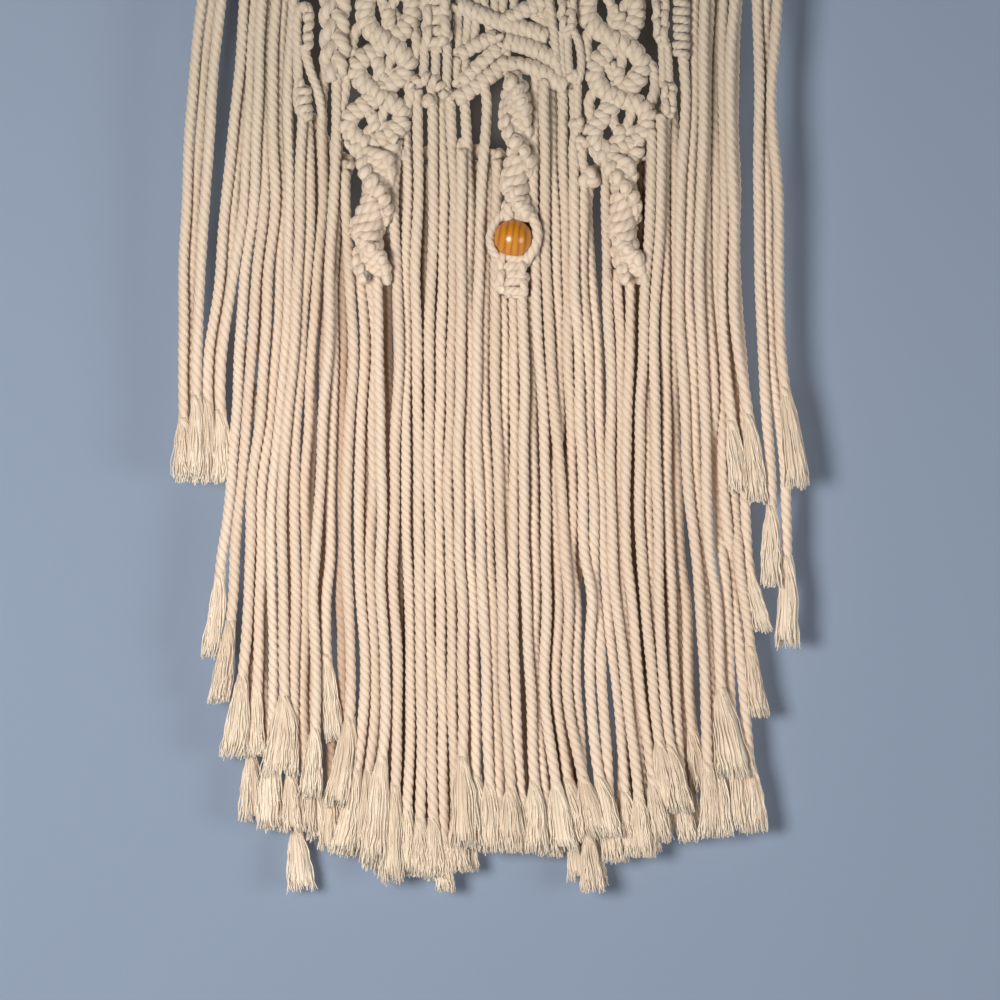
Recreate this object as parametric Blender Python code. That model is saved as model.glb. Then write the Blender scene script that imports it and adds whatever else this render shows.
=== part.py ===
"""Macrame wall hanging: knotted cotton cords, a wooden bead and a long cut fringe.

It hangs flat and faces -Y. The origin is the middle of its top edge, where the
holding cord is fastened up. The tables are in millimetres: x runs from the middle
to the right, drop downwards from the top edge, and depth towards the back.
"""

import math
from collections import namedtuple

import bmesh
import bpy

MM = 0.001
GAP = 0.3               # clearance between neighbouring pieces
CORD = 5.0              # thickness of the cotton cord
BAR = 6.8               # thickness of a row of clove hitches
CROSSING = 3.6          # a single tight cord that crosses a net or bows out beside it
HEADER = 8.0            # thickness of the top row of hitches
HEADER_LEFT = -158.0
HEADER_RIGHT = 145.0
HANG = HEADER + GAP     # drop at which the pieces under the top row start
BEAD = 19.0             # outer size of the wooden bead
BEAD_BORE = 6.8         # hole that the two core cords run through
BORE_LENGTH = 28.0      # length of the rod that cuts the hole
BEAD_X = 6.5
BEAD_DROP = 131.5
BEAD_DEPTH = -9.7
CORE = 5.8              # the two core cords inside the bead
FRONT_DEPTH = -2.9      # middle of the front layer of fringe
BACK_DEPTH = 2.9        # middle of the back layer of fringe
NET_DEPTH = -3.4        # middle of the netted rows
KNOT_DEPTH = -6.3       # middle of the fat knotted columns
SWAG_DEPTH = 5.0        # middle of the row of hitches behind the nets
COLUMN_DEPTH = 0.38     # half a column's depth, as a share of its width
RING_SIDES = 10
BEAD_SIDES = 16
TUBE_RESOLUTION = 2
SAMPLES = 2             # tube points between two points of a route
STAGGER = 0.07          # how much deeper each cord of a net lies than the one before
TURN = 0.13             # how far its sides are turned from the one before, in radians

COTTON = (0.76, 0.64, 0.50, 1.0)
SHADED_COTTON = (0.55, 0.42, 0.30, 1.0)
WOOD = (0.62, 0.25, 0.04, 1.0)

Route = namedtuple("Route", "thickness points")
Row = namedtuple("Row", "drop left right")
Tooth = namedtuple("Tooth", "left right")
Comb = namedtuple("Comb", "depth top slits teeth holes")

LEFT_NET = (
    Route(BAR, ((-68.3, 8.8), (-68.3, 18), (-66, 25.5), (-54, 33.5), (-47.5, 40), (-47, 47), (-56, 53.5),
                (-62.5, 59.5), (-74.5, 69.5), (-75.5, 76), (-70.5, 82), (-65, 85))),
    Route(BAR, ((-44, 8.8), (-44, 20), (-54, 30.5), (-62, 36.5), (-70.5, 41.5), (-71.5, 47), (-67, 55),
                (-57.5, 62), (-50, 68), (-49.5, 73), (-56, 79), (-65, 84.5))),
    Route(CROSSING, ((-69, 24), (-72.8, 30), (-73.3, 36), (-71, 42))),
    Route(CROSSING, ((-46.5, 25), (-42.8, 30), (-42.9, 35), (-46.5, 40))),
    Route(CROSSING, ((-56.5, 8.9), (-55.5, 20), (-51, 28))),
    Route(CROSSING, ((-62, 12), (-55.5, 20))),
    Route(CROSSING, ((-64, 40), (-60, 45.5), (-56, 52))),
    Route(CROSSING, ((-53, 38), (-60, 45.5), (-63, 56))),
    Route(CROSSING, ((-58, 65), (-63, 74.5), (-66, 83))),
    Route(CROSSING, ((-69, 68), (-63, 74.5), (-56, 77))),
    Route(BAR, ((-56.5, 19), (-54.5, 22.5))),
    Route(BAR, ((-60.5, 43.5), (-59, 48))),
    Route(BAR, ((-63.5, 72.5), (-62, 77))),
)

RIGHT_NET = (
    Route(BAR, ((43, 8.7), (43, 18.5), (46.5, 25.5), (60.5, 32.5), (71, 40.5), (71, 47.5), (64, 55),
                (58, 62), (55.5, 69), (47.5, 74.5), (46, 81), (50.5, 87), (57, 88.3))),
    Route(BAR, ((69.5, 8.7), (69.5, 19), (62.5, 29), (54, 38), (46.5, 45), (47, 52), (54, 58.5),
                (66, 63), (74, 67.5), (74, 74.5), (67, 82.5), (58, 88))),
    Route(CROSSING, ((73, 42), (78.2, 49), (77, 60), (74, 67))),
    Route(CROSSING, ((47, 56), (44, 64), (46.5, 74))),
    Route(CROSSING, ((58.4, 8.8), (59.5, 21), (65, 27))),
    Route(CROSSING, ((53, 29), (59.5, 21))),
    Route(CROSSING, ((57, 34), (58.5, 46), (63, 56))),
    Route(CROSSING, ((49, 52), (58.5, 46))),
    Route(CROSSING, ((54, 69), (60.5, 77.5), (66, 83))),
    Route(CROSSING, ((68, 64), (60.5, 77.5), (55, 88))),
    Route(BAR, ((58.5, 18), (60.5, 23))),
    Route(BAR, ((58, 43.5), (59, 48.5))),
    Route(BAR, ((60, 75), (61, 80))),
)

CHEVRON = (
    Route(BAR, ((-19.7, 15.5), (-12, 18.5), (-3.5, 22), (4.5, 25), (13.5, 27), (23.5, 30.5))),
    Route(BAR, ((20, 14), (9, 19), (3, 22.5))),
    Route(BAR, ((-1, 29.5), (-10, 34), (-18.8, 39.5))),
    Route(BAR, ((1, 35.5), (-9, 44), (-18.5, 54.5))),
    Route(BAR, ((5, 42), (-2, 48), (-12, 55.5), (-20.3, 62.3))),
    Route(BAR, ((3, 31.5), (13.5, 35), (20, 38), (25.3, 41.5))),
    Route(BAR, ((5, 43), (13.5, 44.5), (22, 48.5), (31.6, 55))),
    Route(CORD, ((-17.5, 17), (-17.5, 37))),
    Route(CORD, ((-12, 20), (-12, 33))),
    Route(CORD, ((-9, 8.6), (-8.5, 20))),
    Route(CORD, ((-1, 8.6), (-1, 22))),
    Route(CORD, ((19, 8.6), (19, 15))),
    Route(CORD, ((-14, 38), (-14, 48))),
    Route(CORD, ((14, 27), (14, 45))),
    Route(CORD, ((-12, 44), (-12, 54))),
    Route(CORD, ((4, 26), (3.5, 42))),
)

MID_LEFT_CORDS = (
    Route(CORD, ((-38.2, 30), (-38, 51))),
    Route(CORD, ((-32.5, 30), (-32.5, 52))),
    Route(CORD, ((-26.6, 30), (-26.8, 57))),
    Route(6.0, ((-39.5, 52), (-33.5, 51.5), (-28.5, 58))),
    Route(6.8, ((-38, 54), (-35.5, 63))),
)

MID_RIGHT_CORDS = (
    Route(CORD, ((32.2, 26), (32.2, 46))),
    Route(4.2, ((36, 26), (39.4, 36), (40, 44), (38.5, 50))),
    Route(6.8, ((32.5, 46.5), (38, 50))),
)

SWAG = Route(BAR, ((-100, 60), (-90, 80), (-76.5, 94), (-49, 91), (-19, 86), (-1.5, 91), (20, 93),
                   (44, 99), (70.5, 90), (84, 64)))
HANGING_LOOP = Route(CORD, ((-101, 53.2), (-101.2, 24), (-98.5, 14.6), (-95, 17), (-95.2, 53.2)))

COLUMNS = {
    "coil_knot": (Row(54, -101.5, -94.5), Row(57, -102.3, -93.8), Row(66, -102.3, -93.5),
                  Row(71.5, -101.5, -95)),
    "left_top_sennit": (Row(HANG, -89, -76), Row(12, -90, -75.5), Row(20, -87.5, -75), Row(28, -87, -77),
                        Row(37, -89.5, -76), Row(44, -87.5, -77), Row(50, -85, -78)),
    "mid_left_sennit": (Row(HANG, -39.5, -25), Row(12, -39.8, -24.2), Row(24, -39, -24.6),
                        Row(36, -39.8, -24.6)),
    "mid_right_sennit": (Row(HANG, 28.6, 38), Row(14, 28.2, 38.4), Row(28.5, 29, 38)),
    "mid_right_knots": (Row(54.2, 37, 41), Row(58, 36.8, 41), Row(66, 36.3, 41), Row(70, 34.5, 42.3),
                        Row(76, 34.5, 42.5), Row(80, 36.5, 41), Row(84, 35.5, 41.5), Row(88.5, 36, 41.5)),
    "right_top_sennit": (Row(HANG, 76.5, 84), Row(14, 75.5, 84.3), Row(30, 76.5, 84), Row(36, 79.6, 84.5),
                         Row(47, 81.2, 85.6), Row(54, 81.2, 86), Row(57, 80.6, 87.8), Row(62, 80.3, 88.3),
                         Row(69.5, 81, 88)),
    "wrapped_column": (Row(HANG, 86.2, 94.6), Row(12, 86, 95), Row(34, 86, 95), Row(41, 86.4, 94.6)),
    "left_spiral_sennit": (Row(89.2, -72, -53), Row(93, -72, -52), Row(100, -70.5, -53.5),
                           Row(107.5, -68, -54), Row(110.5, -65.5, -55), Row(116, -70, -54.5),
                           Row(122, -74, -54.5), Row(133, -71.5, -57), Row(143.5, -71, -56.5),
                           Row(150, -69, -58)),
    "centre_spiral_sennit": (Row(49.2, 4, 12.5), Row(53, 3, 14), Row(63, 3.5, 15), Row(75.5, -1.5, 16.5),
                             Row(83, 1, 15), Row(90, 2, 16.5), Row(99, -1.5, 17.3), Row(107.5, 2, 16),
                             Row(114, 3.5, 15), Row(117.5, 4.5, 14)),
    "right_spiral_sennit": (Row(92.8, 52, 68), Row(96, 51, 69.5), Row(101.5, 51.5, 69), Row(108, 54, 67),
                            Row(117.5, 54.5, 69.5), Row(124.5, 54.5, 70.5), Row(134, 56.5, 68.5),
                            Row(139.5, 58, 71), Row(146.5, 60, 72.3), Row(150, 61, 71.5)),
    "square_knots": (Row(141.8, -1, 13.5), Row(144, -3, 15), Row(148, -3.6, 15.2), Row(151, -3, 14.6),
                     Row(155, -3.6, 15.2), Row(161, -2.5, 14.5)),
}

COMBS = {
    "left_outer_cords": Comb(
        FRONT_DEPTH, ((-151, HANG), (-137, HANG)), (),
        (Tooth(((-155, 62), (-158.5, 100), (-159, 200), (-160, 252)),
               ((-136.7, 42), (-140.7, 87), (-145.2, 112), (-148.2, 152), (-149, 187), (-151.5, 252))),),
        ()),
    "left_fringe": Comb(
        FRONT_DEPTH, ((-129, HANG), (-104.2, HANG)), ((-134, 179), (-137, 312), (-123.5, 227)),
        (Tooth(((-134.5, 62), (-139.5, 112), (-142.5, 152), (-147.2, 187), (-149.8, 217), (-150.3, 253)),
               ((-138.5, 215), (-141, 253))),
         Tooth(((-136.8, 215), (-139.5, 257), (-143, 292), (-147.5, 312), (-150.5, 340)),
               ((-141.5, 327), (-144.2, 340))),
         Tooth(((-140.5, 327), (-143.2, 341), (-145, 364)),
               ((-128, 257), (-131, 292), (-132, 332), (-134, 364))),
         Tooth(((-125.5, 257), (-128, 292), (-128.5, 322), (-131, 340), (-133.2, 364), (-138.5, 384)),
               ((-104.6, 52), (-106.3, 72), (-107.5, 112), (-109, 187), (-112, 222), (-111.8, 312),
                (-115.2, 348), (-118, 390)))),
        ()),
    "left_centre_fringe": Comb(
        FRONT_DEPTH, ((-104.6, 72.5), (-92.8, 72.5), (-92.8, 55), (-88, 51), (-77.5, 51)),
        ((-100, 362), (-89.5, 330)),
        (Tooth(((-106.8, 112), (-108.3, 187), (-111.2, 222), (-111.1, 312), (-114.5, 348), (-116, 388),
                (-121, 398)), ((-100.8, 375), (-100.4, 399))),
         Tooth(((-99.4, 375), (-99.6, 411)), ((-89.9, 350), (-89.5, 409))),
         Tooth(((-88.5, 350), (-87, 383)),
               ((-80.1, 66), (-80.1, 87), (-80.4, 112), (-82, 152), (-82.5, 257), (-80, 312), (-79.4, 383)))),
        ()),
    "left_spiral_fringe": Comb(
        FRONT_DEPTH, ((-75, 150.5), (-58, 150.5)), ((-72, 372),),
        (Tooth(((-75.5, 187), (-79.6, 240), (-80.3, 290), (-78.8, 312), (-78.4, 384), (-84, 400), (-88, 414)),
               ((-73, 414),)),
         Tooth(((-71, 400), (-72, 416), (-66, 440)),
               ((-58, 187), (-56.4, 257), (-57.8, 312), (-55.3, 362), (-57, 445)))),
        ()),
    "centre_left_fringe": Comb(
        FRONT_DEPTH, ((-48.5, 82), (-44.5, 78), (-44.5, 67.5), (-30.5, 67.5), (-30.2, 63), (-25, 63),
                      (-22, 67.5), (-16, 63.8), (-10, 59.3), (-5, 55.6)),
        ((-48.5, 362), (-42.5, 337), (-26.5, 397)),
        (Tooth(((-49, 112), (-52.5, 152), (-52, 187), (-54.5, 222), (-55.5, 257), (-57, 312), (-54.5, 362),
                (-56.2, 449)), ((-49.5, 420), (-47.3, 451))),
         Tooth(((-47.5, 420), (-46.5, 451)), ((-43.3, 410), (-44, 452))),
         Tooth(((-41.5, 410), (-39.5, 451)), ((-27, 451),)),
         Tooth(((-25.5, 425), (-24, 434)),
               ((-5, 87), (-6.5, 112), (-6.5, 152), (-5.8, 187), (-8.5, 257), (-11.3, 312), (-10.3, 362),
                (-10, 402), (-5, 434)))),
        (((-20, 70), (-17.5, 73), (-15.7, 84), (-19.2, 83.5)),)),
    "centre_fringe": Comb(
        FRONT_DEPTH, ((-5, 161.5), (15.5, 161.5)), ((10, 357),),
        (Tooth(((-5, 187), (-7.7, 257), (-10.6, 312), (-9.6, 362), (-9.3, 402), (-4.4, 436)),
               ((11, 395), (12, 436))),
         Tooth(((13.5, 382), (15, 412), (14, 438)),
               ((15.2, 187), (14.3, 257), (15.8, 292), (16.2, 337), (19.6, 362), (21.4, 387), (27, 438)))),
        ()),
    "centre_right_fringe": Comb(
        FRONT_DEPTH, ((18.5, 55.5), (26.5, 60), (33, 62.5), (34.2, 89), (42.5, 89)), ((40, 292),),
        (Tooth(((18.5, 112), (17.5, 152), (17, 187), (19.3, 250), (20.5, 337), (20.6, 362), (22.6, 387),
                (28, 438)), ((42.3, 312), (44, 350), (45, 387), (44, 436))),
         Tooth(((44, 312), (45.5, 350), (46.2, 387), (48, 412), (46, 434)),
               ((44.3, 107), (47.5, 152), (50.6, 187), (51.6, 212), (52.6, 240), (50.8, 272), (49.8, 307),
                (50.5, 327), (52.6, 352), (55, 368), (57, 387), (57.5, 431)))),
        ()),
    "right_spiral_fringe": Comb(
        FRONT_DEPTH, ((51.3, 150.5), (73.2, 150.5), (73.2, 84.5), (75.8, 82)), ((75, 385),),
        (Tooth(((51.6, 187), (52.3, 212), (53.4, 240), (51.6, 272), (50.6, 307), (51.5, 327), (53.7, 352),
                (56.3, 368), (58.5, 387), (61, 412), (66, 424), (66.5, 440)), ((77.5, 440),)),
         Tooth(((78.5, 418), (78.7, 432)),
               ((76.3, 152), (78.4, 187), (79.9, 222), (81.2, 292), (82.6, 312), (84.8, 362), (87.6, 372),
                (91.5, 394), (94, 418)))),
        ()),
    "right_fringe": Comb(
        FRONT_DEPTH, ((79.2, 70), (89, 70), (89.3, 41.5), (95.5, 41.5), (95.5, HANG), (119, HANG)),
        ((102, 385), (116.5, 397), (125, 337), (127.7, 320), (123, 250)),
        (Tooth(((79.5, 82), (78.5, 152), (79.4, 187), (80.8, 222), (82, 292), (83.4, 312), (85.6, 362),
                (88.4, 372), (92.4, 394), (96, 407)), ((101.5, 407),)),
         Tooth(((102.6, 409), (103.5, 431)), ((116, 431),)),
         Tooth(((118, 415), (119.5, 428)), ((125.3, 350), (125.6, 372), (129, 392), (132.5, 428))),
         Tooth(((126.2, 355), (126.6, 370)), ((128, 332), (131, 345), (135.5, 370))),
         Tooth(((128.9, 328),), ((123.3, 264), (125.5, 275), (127.5, 292), (130.5, 308), (136, 328))),
         Tooth(((124.6, 262),),
               ((117.5, 42), (117, 77), (119, 122), (119.5, 157), (122.5, 187), (127, 203), (129, 215),
                (131.5, 235), (134, 262)))),
        ()),
    "right_outer_cords": Comb(
        FRONT_DEPTH, ((125.7, HANG), (140.5, HANG)), ((136.5, 219.5), (145.5, 249)),
        (Tooth(((127, 62), (126.7, 112), (125.8, 157), (128.6, 187), (131, 212), (133.5, 245), (134.8, 262),
                (134.5, 290), (132.5, 304.5)),
               ((137.5, 232), (138.8, 250), (139.9, 275), (140.2, 304.5))),
         Tooth(((139.5, 228), (142.3, 243), (140.8, 254), (141.4, 285), (140.8, 308), (137.8, 334.5)),
               ((147.2, 265), (148.5, 300), (150.5, 334.5))),
         Tooth(((147.5, 255.5),),
               ((141, 32), (140, 42), (136.5, 57), (135.7, 67), (137.5, 82), (139, 112), (140.5, 147),
                (141.5, 187), (144, 207), (148.5, 222), (152.5, 242), (154, 255.5)))),
        ()),
}

# Its top edge goes on below the row of hitches at the back.
BACK_FRINGE = Comb(
    BACK_DEPTH, ((-117, HANG), (-105, HANG), (-104.6, 56)),
    ((-117, 370), (-103, 395), (-90, 380), (-68, 400), (-36, 400), (-22.5, 410), (-8, 390), (36, 400),
     (54.6, 410), (64.5, 390)),
    (Tooth(((-122, 62), (-131, 112), (-130, 200), (-126, 300), (-127, 380), (-130, 423)), ((-118, 423),)),
     Tooth(((-116.5, 428),), ((-105, 428),)),
     Tooth(((-104, 430), (-108, 457)), ((-92.5, 420), (-93, 457))),
     Tooth(((-87.5, 437),), ((-72, 437),)),
     Tooth(((-66, 447),), ((-52, 447),)),
     Tooth(((-32.5, 430), (-32.5, 458)), ((-23.5, 430), (-23.5, 458))),
     Tooth(((-22, 447),), ((-15, 447),)),
     Tooth(((-4, 437),), ((27, 437),)),
     Tooth(((39, 430), (39, 458)), ((53.5, 430), (54, 458))),
     Tooth(((55.5, 443),), ((63, 443),)),
     Tooth(((67, 428),),
           ((86.5, 150), (90, 250), (95, 330), (100, 400), (98, 428)))),
    ())


def clear_scene():
    for obj in list(bpy.data.objects):
        bpy.data.objects.remove(obj, do_unlink=True)


def new_collection(name):
    collection = bpy.data.collections.new(name)
    bpy.context.scene.collection.children.link(collection)
    return collection


def make_material(name, colour, roughness):
    material = bpy.data.materials.new(name)
    material.use_nodes = True
    shader = material.node_tree.nodes["Principled BSDF"]
    shader.inputs["Base Color"].default_value = colour
    shader.inputs["Roughness"].default_value = roughness
    shader.inputs["Metallic"].default_value = 0.0
    return material


def add_object(name, data, collection, material):
    obj = bpy.data.objects.new(name, data)
    data.materials.append(material)
    collection.objects.link(obj)
    return obj


def blend(a, b, c, d, t):
    """Point between b and c on the smooth curve through a, b, c and d."""
    return 0.5 * (2 * b + (c - a) * t + (2 * a - 5 * b + 4 * c - d) * t ** 2
                  + (3 * b - a - 3 * c + d) * t ** 3)


def smooth_route(points):
    """Points of the smooth curve that runs through the given (x, drop) points."""
    if len(points) == 2:
        return list(points)
    padded = [points[0], *points, points[-1]]
    route = []
    for a, b, c, d in zip(padded, padded[1:], padded[2:], padded[3:]):
        for step in range(SAMPLES):
            t = step / SAMPLES
            route.append(tuple(blend(a[axis], b[axis], c[axis], d[axis], t) for axis in (0, 1)))
    route.append(points[-1])
    return route


def mesh_from_curve(obj):
    """Turn a curve object into a mesh object of the same name, with its caps welded."""
    evaluated = obj.evaluated_get(bpy.context.evaluated_depsgraph_get())
    mesh = bpy.data.meshes.new_from_object(evaluated)
    name = obj.name
    matrix = obj.matrix_world.copy()
    collection = obj.users_collection[0]
    bpy.data.objects.remove(obj, do_unlink=True)
    welded = bmesh.new()
    welded.from_mesh(mesh)
    bmesh.ops.remove_doubles(welded, verts=welded.verts, dist=0.00001)
    welded.to_mesh(mesh)
    welded.free()
    result = bpy.data.objects.new(name, mesh)
    result.matrix_world = matrix
    collection.objects.link(result)
    return result


def tube(name, route, depth, collection, material, turn=0.0):
    """A round bar of cord along a route, closed by flat caps, its sides turned by an angle."""
    points = smooth_route(route.points)
    curve = bpy.data.curves.new(name, "CURVE")
    curve.dimensions = "3D"
    curve.bevel_depth = route.thickness / 2 * MM
    curve.bevel_resolution = TUBE_RESOLUTION
    curve.use_fill_caps = True
    spline = curve.splines.new("POLY")
    spline.points.add(len(points) - 1)
    for point, (x, drop) in zip(spline.points, points):
        point.co = (x * MM, depth * MM, -drop * MM, 1.0)
        point.tilt = turn
    obj = add_object(name, curve, collection, material)
    bpy.context.view_layer.update()
    return mesh_from_curve(obj)


def column(name, rows, depth, collection, material):
    """A knotted column: oval rings, one for each row, closed at both ends."""
    shell = bmesh.new()
    rings = []
    for row in rows:
        middle = (row.left + row.right) / 2
        half_width = (row.right - row.left) / 2
        half_depth = min(2 * half_width * COLUMN_DEPTH, -depth)
        ring = []
        for side in range(RING_SIDES):
            angle = math.tau * side / RING_SIDES
            x = middle + half_width * math.cos(angle)
            y = depth + half_depth * math.sin(angle)
            ring.append(shell.verts.new((x * MM, y * MM, -row.drop * MM)))
        rings.append(ring)
    for upper, lower in zip(rings, rings[1:]):
        for side in range(RING_SIDES):
            after = (side + 1) % RING_SIDES
            shell.faces.new((upper[side], lower[side], lower[after], upper[after]))
    shell.faces.new(rings[0])
    shell.faces.new(rings[-1][::-1])
    bmesh.ops.recalc_face_normals(shell, faces=shell.faces)
    mesh = bpy.data.meshes.new(name)
    shell.to_mesh(mesh)
    shell.free()
    return add_object(name, mesh, collection, material)


def add_spline(curve, points):
    spline = curve.splines.new("POLY")
    spline.points.add(len(points) - 1)
    for point, (x, drop) in zip(spline.points, points):
        point.co = (x * MM, -drop * MM, 0.0, 1.0)
    spline.use_cyclic_u = True


def comb_outline(comb):
    """Walk once around the comb: its top edge, then each tooth from right to left."""
    outline = list(comb.top)
    last = len(comb.teeth) - 1
    for number in range(last, -1, -1):
        tooth = comb.teeth[number]
        outline += tooth.right
        outline += tooth.left[::-1]
        if number > 0:
            outline.append(comb.slits[number - 1])
    return outline


def beneath(route):
    """The line that runs just clear of the underside of a round bar."""
    points = smooth_route(route.points)
    clearance = route.thickness / 2 + GAP
    line = []
    for before, here, after in zip([points[0], *points], points, [*points[1:], points[-1]]):
        along, down = after[0] - before[0], after[1] - before[1]
        length = math.hypot(along, down)
        line.append((here[0] - down / length * clearance, here[1] + along / length * clearance))
    return line


def make_comb(name, comb, collection, material):
    """A fringe: one plate as thick as a cord, slit between its groups of cords."""
    curve = bpy.data.curves.new(name, "CURVE")
    curve.dimensions = "2D"
    curve.fill_mode = "BOTH"
    curve.extrude = CORD / 2 * MM
    add_spline(curve, comb_outline(comb))
    for hole in comb.holes:
        add_spline(curve, hole)
    obj = add_object(name, curve, collection, material)
    obj.location = (0.0, comb.depth * MM, 0.0)
    obj.rotation_euler = (math.pi / 2, 0.0, 0.0)
    bpy.context.view_layer.update()
    return mesh_from_curve(obj)


def unite(name, pieces, collection, material):
    """Join overlapping pieces into one closed body."""
    base = pieces[0]
    for piece in pieces[1:]:
        join = base.modifiers.new("join", "BOOLEAN")
        join.operation = "UNION"
        join.solver = "EXACT"
        join.object = piece
    bpy.context.view_layer.update()
    evaluated = base.evaluated_get(bpy.context.evaluated_depsgraph_get())
    mesh = bpy.data.meshes.new_from_object(evaluated)
    for piece in pieces:
        bpy.data.objects.remove(piece, do_unlink=True)
    mesh.materials.clear()
    return add_object(name, mesh, collection, material)


def tubes(name, routes, depth, collection, material):
    """One tube for each route, each a hair deeper and turned, so that no two faces coincide."""
    return [tube(f"{name}_{number}", route, depth + STAGGER * number, collection, material, TURN * number)
            for number, route in enumerate(routes)]


def make_net(name, routes, collection, material):
    """Rows of clove hitches and the cords between them, one open body."""
    unite(name, tubes(name, routes, NET_DEPTH, collection, material), collection, material)


def make_knots(name, column_name, routes, collection, material):
    """A knotted column with the cords and small knots that hang on it."""
    pieces = [column(column_name, COLUMNS[column_name], KNOT_DEPTH, collection, material)]
    pieces += tubes(name, routes, KNOT_DEPTH, collection, material)
    unite(name, pieces, collection, material)


def make_header(collection, material):
    """The top row of hitches: a straight round bar whose top is the top edge."""
    row = Route(HEADER, ((HEADER_LEFT, HEADER / 2), (HEADER_RIGHT, HEADER / 2)))
    tube("header_row", row, 0.0, collection, material)


def make_bead(collection, cutters, material):
    bore_radius = BEAD_BORE / 2 * MM
    place = (BEAD_X * MM, BEAD_DEPTH * MM, -BEAD_DROP * MM)
    ball = bmesh.new()
    bmesh.ops.create_uvsphere(ball, u_segments=BEAD_SIDES, v_segments=BEAD_SIDES // 2, radius=BEAD / 2 * MM)
    mesh = bpy.data.meshes.new("bead")
    ball.to_mesh(mesh)
    ball.free()
    bead = add_object("bead", mesh, collection, material)
    bead.location = place
    rod = bmesh.new()
    bmesh.ops.create_cone(rod, cap_ends=True, segments=RING_SIDES, radius1=bore_radius,
                          radius2=bore_radius, depth=BORE_LENGTH * MM)
    rod_mesh = bpy.data.meshes.new("bead_bore")
    rod.to_mesh(rod_mesh)
    rod.free()
    cutter = bpy.data.objects.new("bead_bore", rod_mesh)
    cutters.objects.link(cutter)
    cutter.location = place
    cutter.hide_render = True
    cutter.display_type = "WIRE"
    bore = bead.modifiers.new("bore", "BOOLEAN")
    bore.operation = "DIFFERENCE"
    bore.solver = "EXACT"
    bore.object = cutter


def bead_loop(side):
    """A cord that bows around the bead, from the top (0 degrees) to the knot below it."""
    reach = BEAD / 2 + CORD / 2 + 1.5 * GAP
    angles = [math.radians(degrees) for degrees in (22, 45, 68, 90, 112, 135, 158)]
    return Route(CORD, tuple((BEAD_X + side * reach * math.sin(angle), BEAD_DROP - reach * math.cos(angle))
                             for angle in angles))


def make_bead_cords(collection, material):
    """The square knots under the bead, with the two side loops and the core cords."""
    core = Route(CORE, ((BEAD_X, 118), (BEAD_X, 131), (BEAD_X, 145)))
    pieces = [column("square_knots", COLUMNS["square_knots"], KNOT_DEPTH, collection, material)]
    pieces += tubes("bead_cord", (core, bead_loop(-1), bead_loop(1)), BEAD_DEPTH, collection, material)
    unite("square_knots_and_bead_cords", pieces, collection, material)


def build():
    clear_scene()
    hanging = new_collection("macrame_wall_hanging")
    cutters = new_collection("cutters")
    cotton = make_material("cotton_cord", COTTON, 0.95)
    shaded = make_material("cotton_cord_at_the_back", SHADED_COTTON, 0.95)
    wood = make_material("varnished_wood", WOOD, 0.3)
    make_header(hanging, cotton)
    make_net("left_net", LEFT_NET, hanging, cotton)
    make_net("right_net", RIGHT_NET, hanging, cotton)
    make_net("centre_chevron", CHEVRON, hanging, cotton)
    make_knots("mid_left_knots", "mid_left_sennit", MID_LEFT_CORDS, hanging, cotton)
    make_knots("mid_right_sennit_and_cords", "mid_right_sennit", MID_RIGHT_CORDS, hanging, cotton)
    for name in ("coil_knot", "left_top_sennit", "mid_right_knots", "right_top_sennit", "wrapped_column",
                 "left_spiral_sennit", "centre_spiral_sennit", "right_spiral_sennit"):
        column(name, COLUMNS[name], KNOT_DEPTH, hanging, cotton)
    tube("hanging_loop", HANGING_LOOP, KNOT_DEPTH, hanging, cotton)
    make_bead(hanging, cutters, wood)
    make_bead_cords(hanging, cotton)
    tube("back_row", SWAG, SWAG_DEPTH, hanging, shaded)
    for name, comb in COMBS.items():
        make_comb(name, comb, hanging, cotton)
    back = BACK_FRINGE._replace(top=(*BACK_FRINGE.top, *beneath(SWAG)))
    make_comb("back_fringe", back, hanging, shaded)


build()
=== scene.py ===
"""Macrame wall hanging, tied in twisted cotton cord, with one wooden bead.

The pattern is laid out on a ruled sheet. A place on it is (across, down) in half
millimetres: across is 500 at the middle of the hanging and grows to the right, and
down is 0 at 12 mm under the top edge. Depths are millimetres, negative to the front.
"""

import math
from collections import namedtuple
from math import cos, sin, tau

import bpy
import numpy as np
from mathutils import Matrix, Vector


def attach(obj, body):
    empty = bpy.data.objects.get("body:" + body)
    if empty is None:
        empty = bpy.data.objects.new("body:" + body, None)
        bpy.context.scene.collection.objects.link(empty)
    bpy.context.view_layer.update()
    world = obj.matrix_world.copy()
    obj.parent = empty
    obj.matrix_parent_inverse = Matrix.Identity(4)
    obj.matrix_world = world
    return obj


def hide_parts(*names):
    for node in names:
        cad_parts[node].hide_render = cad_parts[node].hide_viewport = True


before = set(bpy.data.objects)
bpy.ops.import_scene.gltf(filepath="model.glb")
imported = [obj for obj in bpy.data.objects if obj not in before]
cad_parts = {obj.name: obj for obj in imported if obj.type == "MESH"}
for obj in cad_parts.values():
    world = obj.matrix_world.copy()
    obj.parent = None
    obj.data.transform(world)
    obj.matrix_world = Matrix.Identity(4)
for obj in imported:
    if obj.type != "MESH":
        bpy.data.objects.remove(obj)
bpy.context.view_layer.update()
scene = bpy.context.scene
dice = np.random.default_rng(20)


# ---
# The front fringe: three-strand cotton cords of 5.6 mm, laid up in one direction.
# They are the free ends of the knotting cords, and hang side by side, some a
# little in front of others. Each ends in a frayed tassel.

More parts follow.
